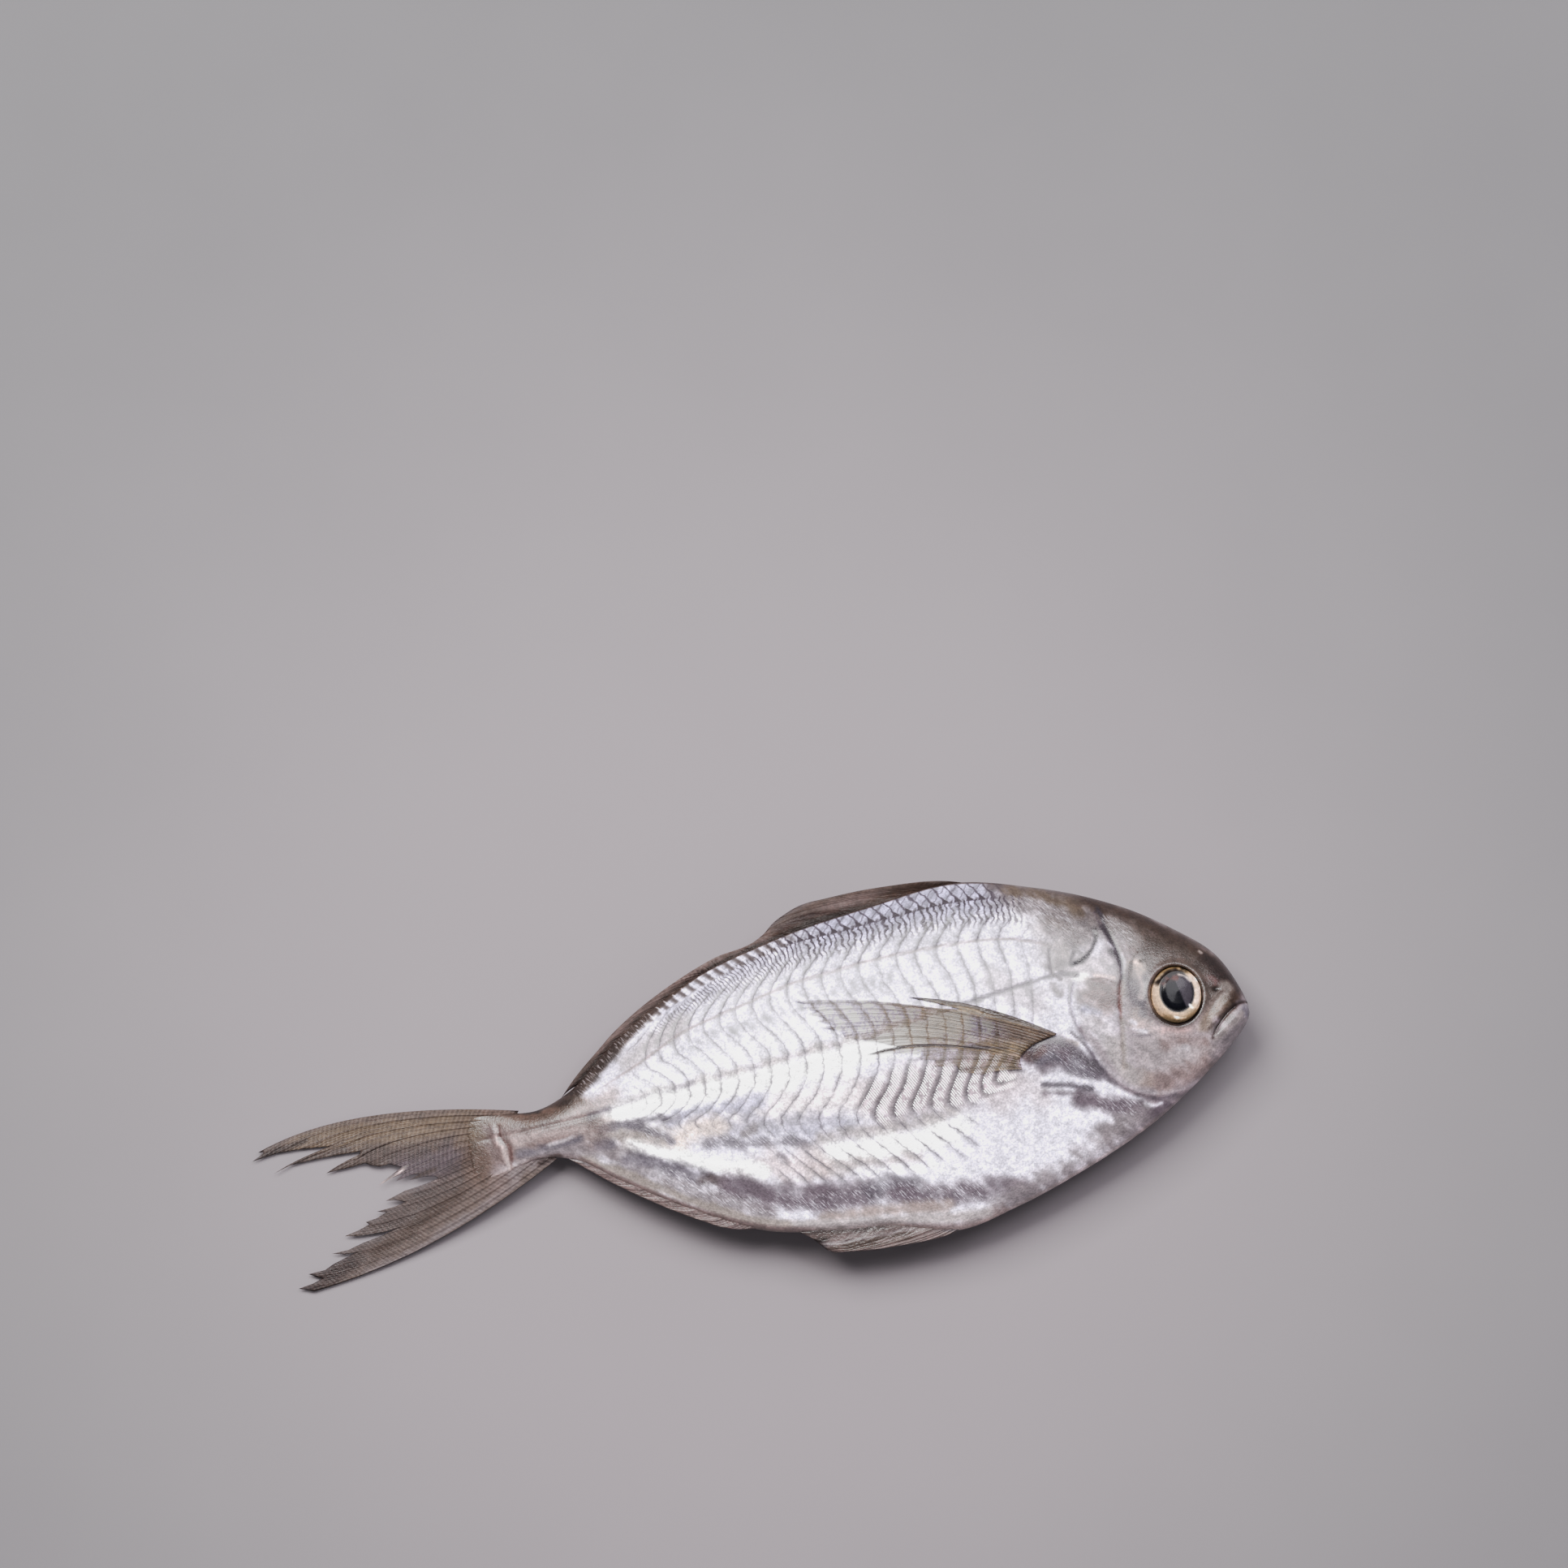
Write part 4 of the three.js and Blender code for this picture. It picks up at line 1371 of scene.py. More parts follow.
HEAD_STROKES = strokes(
    # Shoulder
    (Paint.ASH, 3.6, 3.4, 0.9, ((35, 25), (32, 22), (34, 18))),
    (Paint.STONE, 0.6, 1.8, 0.6, ((40, 29), (35, 27), (31, 24.6), (29.4, 21)), 0.4),
    (Paint.OLIVE, 0.2, 1.2, 0.5, ((36, 24.6), (33, 22), (31.6, 19)), 0.4),
    (Paint.DOVE, 0.4, 1, 0.6, ((36.6, 21.2), (33, 20.8), (31.4, 19)), 0.3),
    (Paint.DOVE, 0.6, 1.2, 0.7, ((37.2, 15.2), (35.4, 15)), 0.2),
    (Paint.PEARL, 0.5, 0.8, 0.8, ((32.6, 17), (31, 17.4))),
    (Paint.SILVER, 0.7, 1, 0.95, ((27.4, 20), (27.5, 18), (28.8, 15.8))),
    (Paint.MIST, 1.8, 2, 0.9, ((33, 12.6), (30, 13.4), (26.6, 13))),
    # Painted shade in the crease above the gill cover
    (Paint.INK, 0.16, 0.5, 0.95, ((27.8, 21), (28.1, 19), (28.9, 17.5), (30, 16.2), (31.6, 15.2),
     (33.6, 14.6))),
    (Paint.GRAPE, 0.1, 0.45, 0.9, ((33.9, 14.9), (33.4, 16), (32.9, 16.9))),
    (Paint.SNOW, 0.45, 0.7, 1, ((33.2, 11.7), (31.4, 12))),
    # Painted shade in the creases along the middle line and across it (these two strokes)
    (Paint.HEATHER, 0.08, 0.5, 0.8, ((33, 12.6), (37.8, 13.2), (42, 12.5), (46, 12), (54, 10.7),
     (60, 9.7))),
    (Paint.PLUM, 0.08, 0.4, 0.8, ((37.6, 18.4), (37.7, 16.8), (37.9, 15.2), (37.6, 13.4), (36.2, 12.2))),
    (Paint.DOVE, 0.2, 0.7, 0.6, ((37.8, 11), (36.8, 9.4), (36.2, 9.8)), 0.2),
    # Crown
    (Paint.COCOA, 2, 3.4, 0.95, ((26, 24.4), (21, 21.4), (16, 17.4), (12.6, 13.8), (9, 10.4), (5, 7.4))),
    (Paint.HIDE, 2, 3, 0.85, ((19.6, 16.6), (17.6, 14.2), (13.6, 12.8), (9.6, 10.4), (7, 6.4), (6.4, 3.8))),
    (Paint.COCOA, 0.4, 1.6, 0.9, ((46, 33.4), (41, 31.6), (34, 29.4), (28, 27))),
    (Paint.UMBER, 0.6, 1.8, 0.9, ((30, 27.2), (28, 26.8), (22, 23.8), (15, 18.6), (9, 13.6), (4.6, 9.8),
     (2, 6.4))),
    (Paint.DOVE, 1.4, 3.4, 0.8, ((44, 31), (38, 28.2), (32.6, 24.4), (31, 20.4)), 0.4),
    (Paint.OLIVE, 0.3, 1.6, 0.6, ((43.5, 32), (37, 29.6), (30.4, 25.6)), 0.5),
    (Paint.HIDE, 0.8, 2.6, 0.55, ((20, 19.4), (15.6, 15.8), (11, 12.8), (7.4, 9.6))),
    (Paint.HIDE, 0.8, 1.8, 0.7, ((8.4, 10.6), (7, 7.4), (7.2, 4.4), (8.2, 2.4))),
    (Paint.EMBER, 1.2, 1.6, 0.85, ((7.4, 10.4), (4.8, 8.4), (3, 6.2), (2.6, 4.2))),
    (Paint.WOUND, 0.35, 0.9, 0.8, ((7, 7.6), (6.2, 6.8))),
    (Paint.STONE, 0.4, 1.1, 0.85, ((4.2, 5.8), (3.6, 4.6), (4.6, 3.4), (5.6, 3))),
    (Paint.UMBER, 0.7, 0.8, 0.95, ((2.6, 3.2), (3.8, 1.8), (5.4, 0))),
    (Paint.ASH, 0.9, 1.8, 0.8, ((24, 21.6), (22.4, 20.2), (21.2, 18.2), (21, 16.8)), 0.5),
    (Paint.MIST, 0.2, 0.8, 0.7, ((23.6, 18.8), (22.6, 16.4), (22.2, 15)), 0.4),
    (Paint.SAND, 0.1, 0.3, 0.6, ((16, 13.6), (15.8, 13))),
    # Painted highlight on the top of the snout
    (Paint.SHELL, 0.1, 0.25, 0.7, ((8, 13.4), (7.7, 13))),
    # Behind the eye
    (Paint.STONE, 1.6, 2, 0.8, ((21.8, 11), (21.6, 6), (22.2, 1.6))),
    (Paint.DOVE, 0.8, 1.6, 0.8, ((19.6, 10.6), (20.4, 6), (19, 1)), 0.2),
    (Paint.HIDE, 0.8, 1.6, 0.75, ((19, 12.4), (15, 12.8), (11, 12), (8.2, 8.6), (7.4, 5), (8.2, 1.6)), 0.1),
    (Paint.PLUM, 0.45, 0.9, 0.85, ((22.8, 11), (22.4, 8), (22.8, 4.8)), 0.2),
    (Paint.SLATE, 0.4, 0.8, 0.8, ((20, 9.4), (21, 5.6), (21.4, 2.6)), 0.2),
    (Paint.BLUSH, 0.25, 0.6, 0.8, ((20.6, 10.6), (20.4, 8), (21, 6))),
    (Paint.SAND, 0.7, 0.8, 0.95, ((21.4, 13.2), (20.6, 13), (20.2, 11.4))),
    (Paint.UMBER, 0.1, 0.4, 0.9, ((22.6, 10.2), (22.1, 12.4), (21.2, 14.2), (20.2, 15))),
    (Paint.UMBER, 0.1, 0.35, 0.9, ((20, 13.3), (19.2, 13.2))),
    (Paint.GRAPE, 0.4, 0.8, 0.8, ((25.2, 15.8), (24.4, 14.4), (24.3, 13.2))),
    (Paint.PEARL, 0.15, 0.4, 0.9, ((25.6, 17.8), (24.6, 16.6))),
    # Painted shade in the cheek's crease (these two strokes)
    (Paint.GRAPE, 0.12, 0.45, 0.9, ((26.6, 25), (26, 22.8), (26, 20), (24.9, 17.6), (23.9, 15.4),
     (24, 12.6), (23.9, 11), (24.3, 9.4))),
    (Paint.GRAPE, 0.1, 0.4, 0.8, ((27.4, 24.4), (26.9, 22.4), (26.5, 21))),
    (Paint.PEARL, 0.15, 0.45, 0.85, ((23.4, 15.2), (23.3, 13.2), (23.8, 11.6))),
    # Cheek
    (Paint.ASH, 3.4, 3, 0.6, ((21, -5.4), (16, -6.4), (12, -6.6), (9, -7.2))),
    (Paint.BLUSH, 0.6, 1.8, 0.7, ((22.6, 1), (19, -0.6), (14, -1.6), (9.6, -0.6), (6.4, 1.6))),
    (Paint.PINK, 0.3, 1.2, 0.45, ((17.6, -1.2), (15.4, -1.6), (12.4, -2.2))),
    (Paint.TAUPE, 0.9, 1.3, 0.8, ((17, -3.6), (13.6, -3.6), (10.2, -4.4)), 0.35),
    (Paint.MIST, 0.4, 0.7, 0.8, ((15.2, -5.4), (13.6, -5.4)), 0.3),
    (Paint.TAUPE, 1.4, 2, 0.85, ((8, -7.4), (12, -9.4), (17, -11), (22, -12)), 0.3),
    (Paint.FAWN, 0.8, 1.6, 0.8, ((26, -9), (22.6, -10.6))),
    (Paint.PEARL, 0.2, 0.6, 0.8, ((23.8, 1.6), (23, 1))),
    (Paint.PEARL, 0.15, 0.6, 0.8, ((23.7, 0), (22.6, -0.5), (21.2, -0.9))),
    (Paint.SLATE, 0.05, 0.4, 0.6, ((23.9, -1), (22.4, -1.5), (20.4, -1.8))),
    (Paint.TAN, 0.6, 0.9, 0.6, ((5, 2.4), (7, 1.2), (8.8, -0.4), (9.6, -1.8))),
    # Painted shade in the crease at the mouth's corner
    (Paint.COCOA, 0.05, 0.3, 0.5, ((5.2, 0.4), (6.4, -0.5), (7.6, -1.5), (8.8, -2.3))),
    # Gill cover
    (Paint.MIST, 1.6, 1.8, 0.9, ((31.8, 3.4), (29.8, 0.6), (29, -3.4))),
    (Paint.SILVER, 0.45, 0.6, 0.95, ((33.8, 10.6), (33.4, 8.6), (33.4, 6.6), (32.2, 4.6))),
    (Paint.TAUPE, 1.8, 1.8, 0.9, ((30.6, 8.2), (29, 8.8), (27.6, 7.4), (28.8, 5.8)), 0.1),
    (Paint.LILAC, 0.4, 0.9, 0.8, ((32.4, 5.4), (29.8, 4.2))),
    (Paint.ASH, 1.4, 1.6, 0.9, ((27.6, -2.4), (27.4, -6.4), (25.4, -9.6))),
    (Paint.MAROON, 0.03, 0.3, 0.7, ((30.2, 11.2), (28, 10.8), (26.6, 10.1), (25.4, 9.2))),
    # Painted highlight above the brown line on the gill cover
    (Paint.SHELL, 0.12, 0.4, 0.8, ((29.4, 11.7), (27.4, 11.3), (25.8, 10.6))),
    (Paint.RUST, 0.05, 0.4, 0.75, ((24.2, 9.6), (24.6, 8.2), (25.2, 6), (25.5, 4.2), (25.6, 2.4))),
    (Paint.STONE, 0.15, 0.6, 0.8, ((25.6, 2.4), (25.9, -0.6), (26.3, -4), (26.6, -7.2))),
    (Paint.MAUVE, 0.6, 0.8, 0.9, ((33.6, 1.6), (31.6, -1.8), (30.2, -5.6), (28.6, -9), (25.6, -12),
     (22, -13.2))),
    # Painted shade in the gill opening (these two strokes)
    (Paint.GRAPE, 0.08, 0.5, 0.7, ((36, 1.2), (34.8, -0.2), (33.6, -1.8), (32.5, -3.6), (32, -5.6),
     (31.4, -7.6), (30.2, -9.2), (28.8, -10.3))),
    (Paint.SLATE, 0.05, 0.5, 0.5, ((25.6, -13.2), (23, -14.1), (20, -14.3), (17.4, -13.9))),
    (Paint.FROST, 0.4, 0.6, 0.95, ((37.2, 2.5), (35.6, 3.4))),
    (Paint.CREAM, 0.35, 0.5, 0.9, ((37, -0.2), (35.2, -1.2))),
    # Lobe at the breast fin's root, and the dark membrane before it
    (Paint.HEATHER, 1.5, 1.2, 1, ((38.4, -2), (35.4, -4.2), (32.8, -7.8), (37, -5.4)), 0.15),
    (Paint.PLUM, 2, 1.2, 1, ((44.4, -1.2), (41, -0.4), (38, -2), (41.6, -3.6))),
    (Paint.GRAPE, 0.4, 1.2, 0.6, ((40.4, 0.6), (36.4, -1.6), (33.6, -4.8), (31.6, -8.2))),
    (Paint.PEWTER, 0.6, 1.2, 0.6, ((42.6, -3), (40.2, -3.2))),
    (Paint.MAROON, 0.2, 0.9, 0.6, ((46, -1.2), (44.6, -2), (42.2, -1.4))),
    # White ridge under it
    (Paint.PEARL, 0.6, 0.6, 1, ((42.4, -7.2), (40.4, -7), (38.6, -7.5))),
    (Paint.PEARL, 0.3, 0.5, 1, ((39, -7.4), (36.6, -8.2), (34.4, -8.9), (32, -9.8), (29.2, -11.2),
     (26.6, -12.9), (24, -14.5))),
    (Paint.SLATE, 0.15, 0.5, 0.85, ((43.4, -8), (41, -8.5), (38.2, -8.9), (36, -9.6), (33.8, -10.4))),
    (Paint.PLUM, 0.1, 0.6, 0.7, ((43, -9.7), (41.2, -10), (39, -10.4), (36.8, -10.9))),
    (Paint.PLUM, 0.9, 1.3, 1, ((36.6, -11.8), (33, -13.2), (28, -14.9), (23.4, -16.2), (19.6, -15.8)), 0.2),
    # Painted glint on the throat's ridge
    (Paint.PEARL, 0.15, 0.4, 0.9, ((23.4, -15), (21.6, -15.5), (20.4, -15.3))),
    (Paint.DOVE, 1.2, 2, 0.8, ((33.4, -20), (28.4, -18.2), (25.2, -17.4)), 0.45),
    # Lips and chin
    (Paint.DOVE, 0.8, 1.2, 0.9, ((0.6, -1), (2.4, -2.8), (5.4, -5.2), (8.2, -7.4))),
    (Paint.DOVE, 0.8, 0.7, 0.9, ((0.9, 0.2), (3, -1.6), (5.4, -3.2), (7.8, -4.8))),
    (Paint.STONE, 0.3, 0.5, 0.4, ((1.4, -0.2), (3.6, -1.8), (6, -3.3), (7.8, -4.5))),
    (Paint.HEATHER, 0.5, 0.6, 0.9, ((0.8, 0.9), (0.2, 0), (0.6, -0.6))),
)


@dataclass(frozen=True)
class Groove:
    """A line pressed into the flank, or raised from it where the depth is below 0."""

    points: Pairs
    depth: float
    width: float

    def height(self, back: Array, up: Array) -> Array:
        """How far the skin stands out at each place because of it.

        Args:
            back, up: the places.

        Returns:
            Millimetres.
        """
        gap, share, _ = Trail(self.points).reach(back, up)
        ends = smoothstep(share, 0.0, 0.12) * (1 - smoothstep(share, 0.88, 1.0))
        return -0.6 * self.depth * ends * bell(gap, self.width)


GROOVES = tuple(Groove(*row) for row in (
    (CHEEK_CREASE.points, 0.45, 0.55),
    (((27.8, 21), (28.6, 18.8), (31, 16.3), (33.5, 14.8)), 0.4, 0.6),
    (((33, 12.6), (37.5, 13.2), (50, 11.2), (57, 10)), 0.16, 0.35),
    (((37.9, 18.6), (37.7, 15.5), (37.8, 13)), 0.18, 0.35),
    (((43, -7), (38.5, -7.4), (34.3, -9), (29.3, -10.6)), -0.35, 0.6),
    (((43.2, -8.4), (39.3, -9.4), (36, -10.8), (31.5, -12.4)), 0.3, 0.6),
    (((19, 14.2), (22, 12.4), (22.6, 7.5), (21.4, 2)), 0.18, 0.8),
    (((2.6, 5.2), (5.2, 4), (8, 1.2), (9.4, -2.2)), 0.25, 0.5),
    (((14, -7), (18, -9.6), (24, -9.4)), -0.2, 1.2),
    (((151.8, 3), (151.4, -0.2), (150.2, -2.2), (150.2, -6.8)), 0.3, 0.45),
    (((152.8, 3.2), (152.4, -0.4), (151.4, -3), (151.2, -6.8)), -0.3, 0.5),
    (((131, -5.4), (123, -9.6), (114, -14.4), (106, -17.4)), 0.25, 0.7),
    (((128, -6), (118, -10.2), (108, -13.9), (99, -16.4)), -0.3, 1),
    (((33.6, 11), (33.4, 8), (32.6, 5)), -0.3, 0.5),
    (((30.2, 11.2), (28, 10.7), (25.4, 9.2)), 0.25, 0.4),
))


@dataclass(frozen=True)
class EyeSeat:
    """Where an eye sits on its flank, and its pupil in it."""

    back: float = 14.05
    up: float = 5.35
    half_length: float = 5.1
    half_height: float = 5.7
    pupil_back: float = 13.8
    pupil_up: float = 5.9
    pupil_half_length: float = 3.4
    pupil_half_height: float = 4.0

    def reach(self, back: Array, up: Array) -> Array:
        """Distance from the eye's middle, as a share of its outline."""
        return np.hypot((back - self.back) / self.half_length, (up - self.up) / self.half_height)

    def pupil_reach(self, back: Array, up: Array) -> Array:
        """Distance from the pupil's middle, as a share of its outline."""
        along = (back - self.pupil_back) / self.pupil_half_length
        return np.hypot(along, (up - self.pupil_up) / self.pupil_half_height)


@dataclass
class Skin:
    """The body's skin from the jaw into the tail's root, on both flanks."""

    name: str = "skin"
    right_columns: int = 160
    left_columns: int = 44
    flatness: float = 0.4
    breast_lobe: tuple[float, float] = (41.8, -1.9)
    nostril: tuple[float, float] = (6.0, 5.4)
    seat: EyeSeat = field(default_factory=EyeSeat)
    row_pitch: Profile = Profile(((30, 2.2), (86, 2.2), (98, 1.55), (150, 1.5)))

    def stations(self) -> Array:
        """The places along the body that carry a ring, closer together on the head.

        Returns:
            Millimetres behind the tip of the jaw.
        """
        knots = np.array([0.0, 0.6, 8.0, 36.0, 60.0, FORM.flesh_length])
        steps = np.array([0.06, 0.26, 0.27, 0.36, 0.41])
        places = []
        for start, end, step in zip(knots, knots[1:], steps):
            places.append(np.linspace(start, end, int(np.ceil((end - start) / step)), endpoint=False))
        return np.concatenate([*places, [FORM.flesh_length]])[1:]

    def turns(self) -> Array:
        """The angles round a ring, evenly spread along its arc: the right flank first, then the left.

        Returns:
            Radians.
        """
        fine = np.linspace(0.0, math.pi, 2001)
        speed = np.hypot(np.sin(fine), self.flatness * np.cos(fine))
        arc = np.concatenate([[0.0], np.cumsum((speed[1:] + speed[:-1]) / 2)])
        arc /= arc[-1]
        right = np.interp(np.linspace(0.0, 1.0, self.right_columns + 1), arc, fine)
        left = math.pi + np.interp(np.linspace(0.0, 1.0, self.left_columns + 1), arc, fine)
        return np.concatenate([right, left[1:]])

    def relief(self, back: Array, up: Array) -> Array:
        """How far the skin stands out from the smooth flank, in millimetres.

        Args:
            back, up: the places.

        Returns:
            Millimetres.
        """
        gap, _, side = GILL_OPENING.reach(back, up)
        head = smoothstep(back, 12.0, 30.0) * (1 - smoothstep(up, 6.0, 17.0))
        inside = smoothstep(-side * gap, -0.25, 0.35)
        height = 0.6 * head * inside
        for groove in GROOVES:
            height = height + groove.height(back, up)
        height = height + self._mouth(back, up) + self._muscle(back, up)
        lobe = np.hypot((back - self.breast_lobe[0]) / 4.4, (up - self.breast_lobe[1]) / 3.4)
        height = height + 0.55 * bell(lobe**2, 1.0)
        nostril = np.hypot((back - self.nostril[0]) / 0.7, (up - self.nostril[1]) / 0.5)
        height = height - 0.5 * bell(nostril, 1.0)
        edge = self.seat.reach(back, up)
        height = height + 0.35 * bell(edge - 1.14, 0.1)
        height = height - 2.6 * (1 - smoothstep(edge, 0.94, 1.05))
        uneven = Grain(3).rough(back / 6.0 + 9.0, up / 6.0 + 60.0, 3)
        return height + 0.1 * uneven

    def _mouth(self, back: Array, up: Array) -> Array:
        """The slit between the jaws and the two lips beside it.

        Args:
            back, up: the places.

        Returns:
            How far they stand out, in millimetres.
        """
        slit, share, _ = MOUTH.reach(back, up)
        lip, lip_share, _ = LOWER_LIP.reach(back, up)
        rim = Trail(((1.2, 3.3), (3.0, 3.0), (5.2, 1.5), (7.4, -0.6))).reach(back, up)[0]
        shut = 1 - smoothstep(share, 0.8, 1.0)
        height = -0.8 * shut * bell(slit, 0.4)
        height = height + 0.75 * (1 - smoothstep(lip_share, 0.7, 1.0)) * bell((lip / 1.15) ** 2, 1.0)
        return height + 0.3 * bell(rim, 0.8)

    def _muscle(self, back: Array, up: Array) -> Array:
        """Shallow grooves at the band edges, the lateral line and the crease along the side.

        Args:
            back, up: the places.

        Returns:
            How far the skin stands out because of them.
        """
        phase = BANDS.phase(back, up)
        near = np.abs(phase - np.rint(phase))
        bands = BANDS.strength(back, up) * (0.11 * np.sqrt(near * 2.0) - 0.075)
        body = smoothstep(back, 36.0, 42.0) * (1 - smoothstep(back, 122.0, 132.0))
        line = 0.14 * body * bell(up - LATERAL.at(back), 0.4)
        crease = -0.2 * smoothstep(back, 60.0, 72.0) * bell(up - SEPTUM.at(back), 0.5)
        return bands + line + crease

    def tone(self, back: Array, up: Array) -> Array:
        """The skin's painted colour, as it is seen.

        Args:
            back, up: the places.

        Returns:
            A colour for each place.
        """
        canvas = np.ones((*back.shape, 3)) * Paint.PEARL.share
        lay(canvas, Paint.MAUVE, 1 - smoothstep(back, 22.0, 32.0))
        grain = self.streaks(back, up)
        for stroke in (*FLANK_STROKES, *STALK_STROKES, *HEAD_STROKES):
            stroke.lay(canvas, back, up, grain)
        self._edges(canvas, back, up)
        self._folds(canvas, back, up)
        blotchy = 0.03 + 0.09 * (1 - smoothstep(back, 26.0, 40.0))
        # Painted shade and light across the muscle bands, and uneven tone
        canvas *= (1 + BANDS.shading(back, up) + blotchy * grain)[..., None]
        line = bell(up - LATERAL.at(back) + 0.12 * grain, 0.26) * between_levels(back, 38.0, 128.0, 4.0)
        lay(canvas, Paint.TAUPE, 0.5 * line)
        return np.clip(canvas, 0.0, 1.0)

    def streaks(self, back: Array, up: Array) -> Array:
        """Unevenness from -1 to 1, drawn out along the slant of the scale rows."""
        along, across = 0.7 * (back + up), 0.7 * (back - up)
        return Grain(5).rough(along / 3.2 + 30.0, across / 1.3 + 50.0, 3)

    def _edges(self, canvas: Array, back: Array, up: Array) -> None:
        """Darkens the back's edge, more towards the tail, and the belly's edge a little: painted shade where
        the flank turns from the light, and a darker strip towards the tail.

        Args:
            canvas: the colours so far, changed in place.
            back, up: where each of them lies.
        """
        under = FORM.back_edge.at(back) - up
        above = up - FORM.belly_edge.at(back)
        rear = smoothstep(back, 106.0, 128.0) * (1 - smoothstep(back, 136.0, 142.0))
        width = 0.5 + 2.9 * rear
        cover = smoothstep(back, 41.0, 50.0) * (1 - smoothstep(under, 0.45 * width, width))
        cover = cover * (1 - 0.6 * smoothstep(back, 138.0, 144.0))
        lay(canvas, Paint.UMBER, 0.85 * cover)
        lay(canvas, Paint.SOOT, 0.2 * cover * smoothstep(back, 112.0, 124.0))
        # Painted shade along the belly's edge, where the flank turns from the light
        lay(canvas, Paint.FAWN, 0.45 * (1 - smoothstep(above, 0.1, 1.1)) * smoothstep(back, 12.0, 24.0))
        strip = smoothstep(back, 90.0, 97.0) * (1 - smoothstep(back, 132.0, 142.0))
        lay(canvas, Paint.TAUPE, 0.9 * strip * (1 - smoothstep(above, 0.5, 1.5)))
        lay(canvas, Paint.HIDE, 0.7 * strip * (1 - smoothstep(above, 0.0, 0.6)))

    def _folds(self, canvas: Array, back: Array, up: Array) -> None:
        """Paints shade into the gill opening, the cheek's fold, the mouth's slit, the nostril and the eye's
        socket, a highlight on the gill cover's raised edge, and the eye's rim.

        Args:
            canvas: the colours so far, changed in place.
            back, up: where each of them lies.
        """
        gap, _, side = GILL_OPENING.reach(back, up)
        low = 1 - smoothstep(up, 8.0, 14.0)
        # Painted shade at the foot of the gill opening's step, and a painted highlight on the gill cover's
        # raised edge
        lay(canvas, Paint.GRAPE, 0.3 * bell(side * gap - 0.35, 0.4) * low)
        lay(canvas, Paint.PEARL, 0.25 * bell(side * gap + 0.8, 0.45) * low)
        # Painted shade in the cheek's crease, in the mouth's slit and in the nostril
        lay(canvas, Paint.INK, 0.4 * bell(CHEEK_CREASE.reach(back, up)[0], 0.4) * smoothstep(up, 9.0, 13.0))
        lay(canvas, Paint.EMBER, 0.75 * bell(MOUTH.reach(back, up)[0], 0.3))
        lay(canvas, Paint.SOOT, 0.9 * bell(np.hypot((back - 6.0) / 0.6, (up - 5.3) / 0.45), 1.0))
        edge = self.seat.reach(back, up)
        lay(canvas, Paint.BRONZE, 0.5 * bell(edge - 1.08, 0.07))
        lay(canvas, Paint.SOOT, 0.8 * bell(edge - 1.06, 0.08) * (1 - smoothstep(up, 1.6, 4.6)))
        # Painted shade inside the eye's socket
        lay(canvas, Paint.SOOT, smoothstep(1.02 - edge, 0.0, 0.06))

    def marks(self, back: Array, up: Array) -> Array:
        """Where the band edges and the scale rows below and above the pores show.

        Args:
            back, up: the places.

        Returns:
            Three shares for each place.
        """
        lateral, pores = LATERAL.at(back), PORE_ROW.at(back)
        body = between_levels(back, 42.0, 118.0, 3.0)
        below = body * smoothstep(up, lateral + 2.2, lateral + 4.4)
        below = below * (1 - smoothstep(up, pores - 0.3, pores + 0.3))
        below = below * (0.75 + 0.25 * smoothstep(up - pores, -4.5, -0.5))
        below = below * (1 - 0.4 * smoothstep(back, 92.0, 104.0))
        above = between_levels(back, 45.0, 93.0, 3.0) * smoothstep(up, pores - 0.2, pores + 0.3)
        return np.stack([BANDS.strength(back, up), below, above], axis=-1)

    def zones(self, back: Array, up: Array) -> Array:
        """Where the patch of fine dashes, the slanted hooks and the glints lie.

        Args:
            back, up: the places.

        Returns:
            Three shares for each place.
        """
        under = FORM.back_edge.at(back) - up
        hooks = between_levels(back, 88.0, 120.0, 3.0) * between_levels(under, 0.35, 2.5, 0.3)
        glints = np.max([zone.cover(back, up) for zone in GLINTS], axis=0)
        return np.stack([GREY_PATCH.cover(back, up), hooks, glints], axis=-1)

    def rows(self, back: Array, up: Array) -> Array:
        """A number that grows by one from each pore to the next, and leans with the scale rows.

        Args:
            back, up: the places.

        Returns:
            The number, whole at each pore.
        """
        off = up - PORE_ROW.at(back)
        lean = np.where(off > 0, 0.68 * off, 0.55 * off * smoothstep(back, 84.0, 98.0))
        return self.row_pitch.steps_before(back - lean)

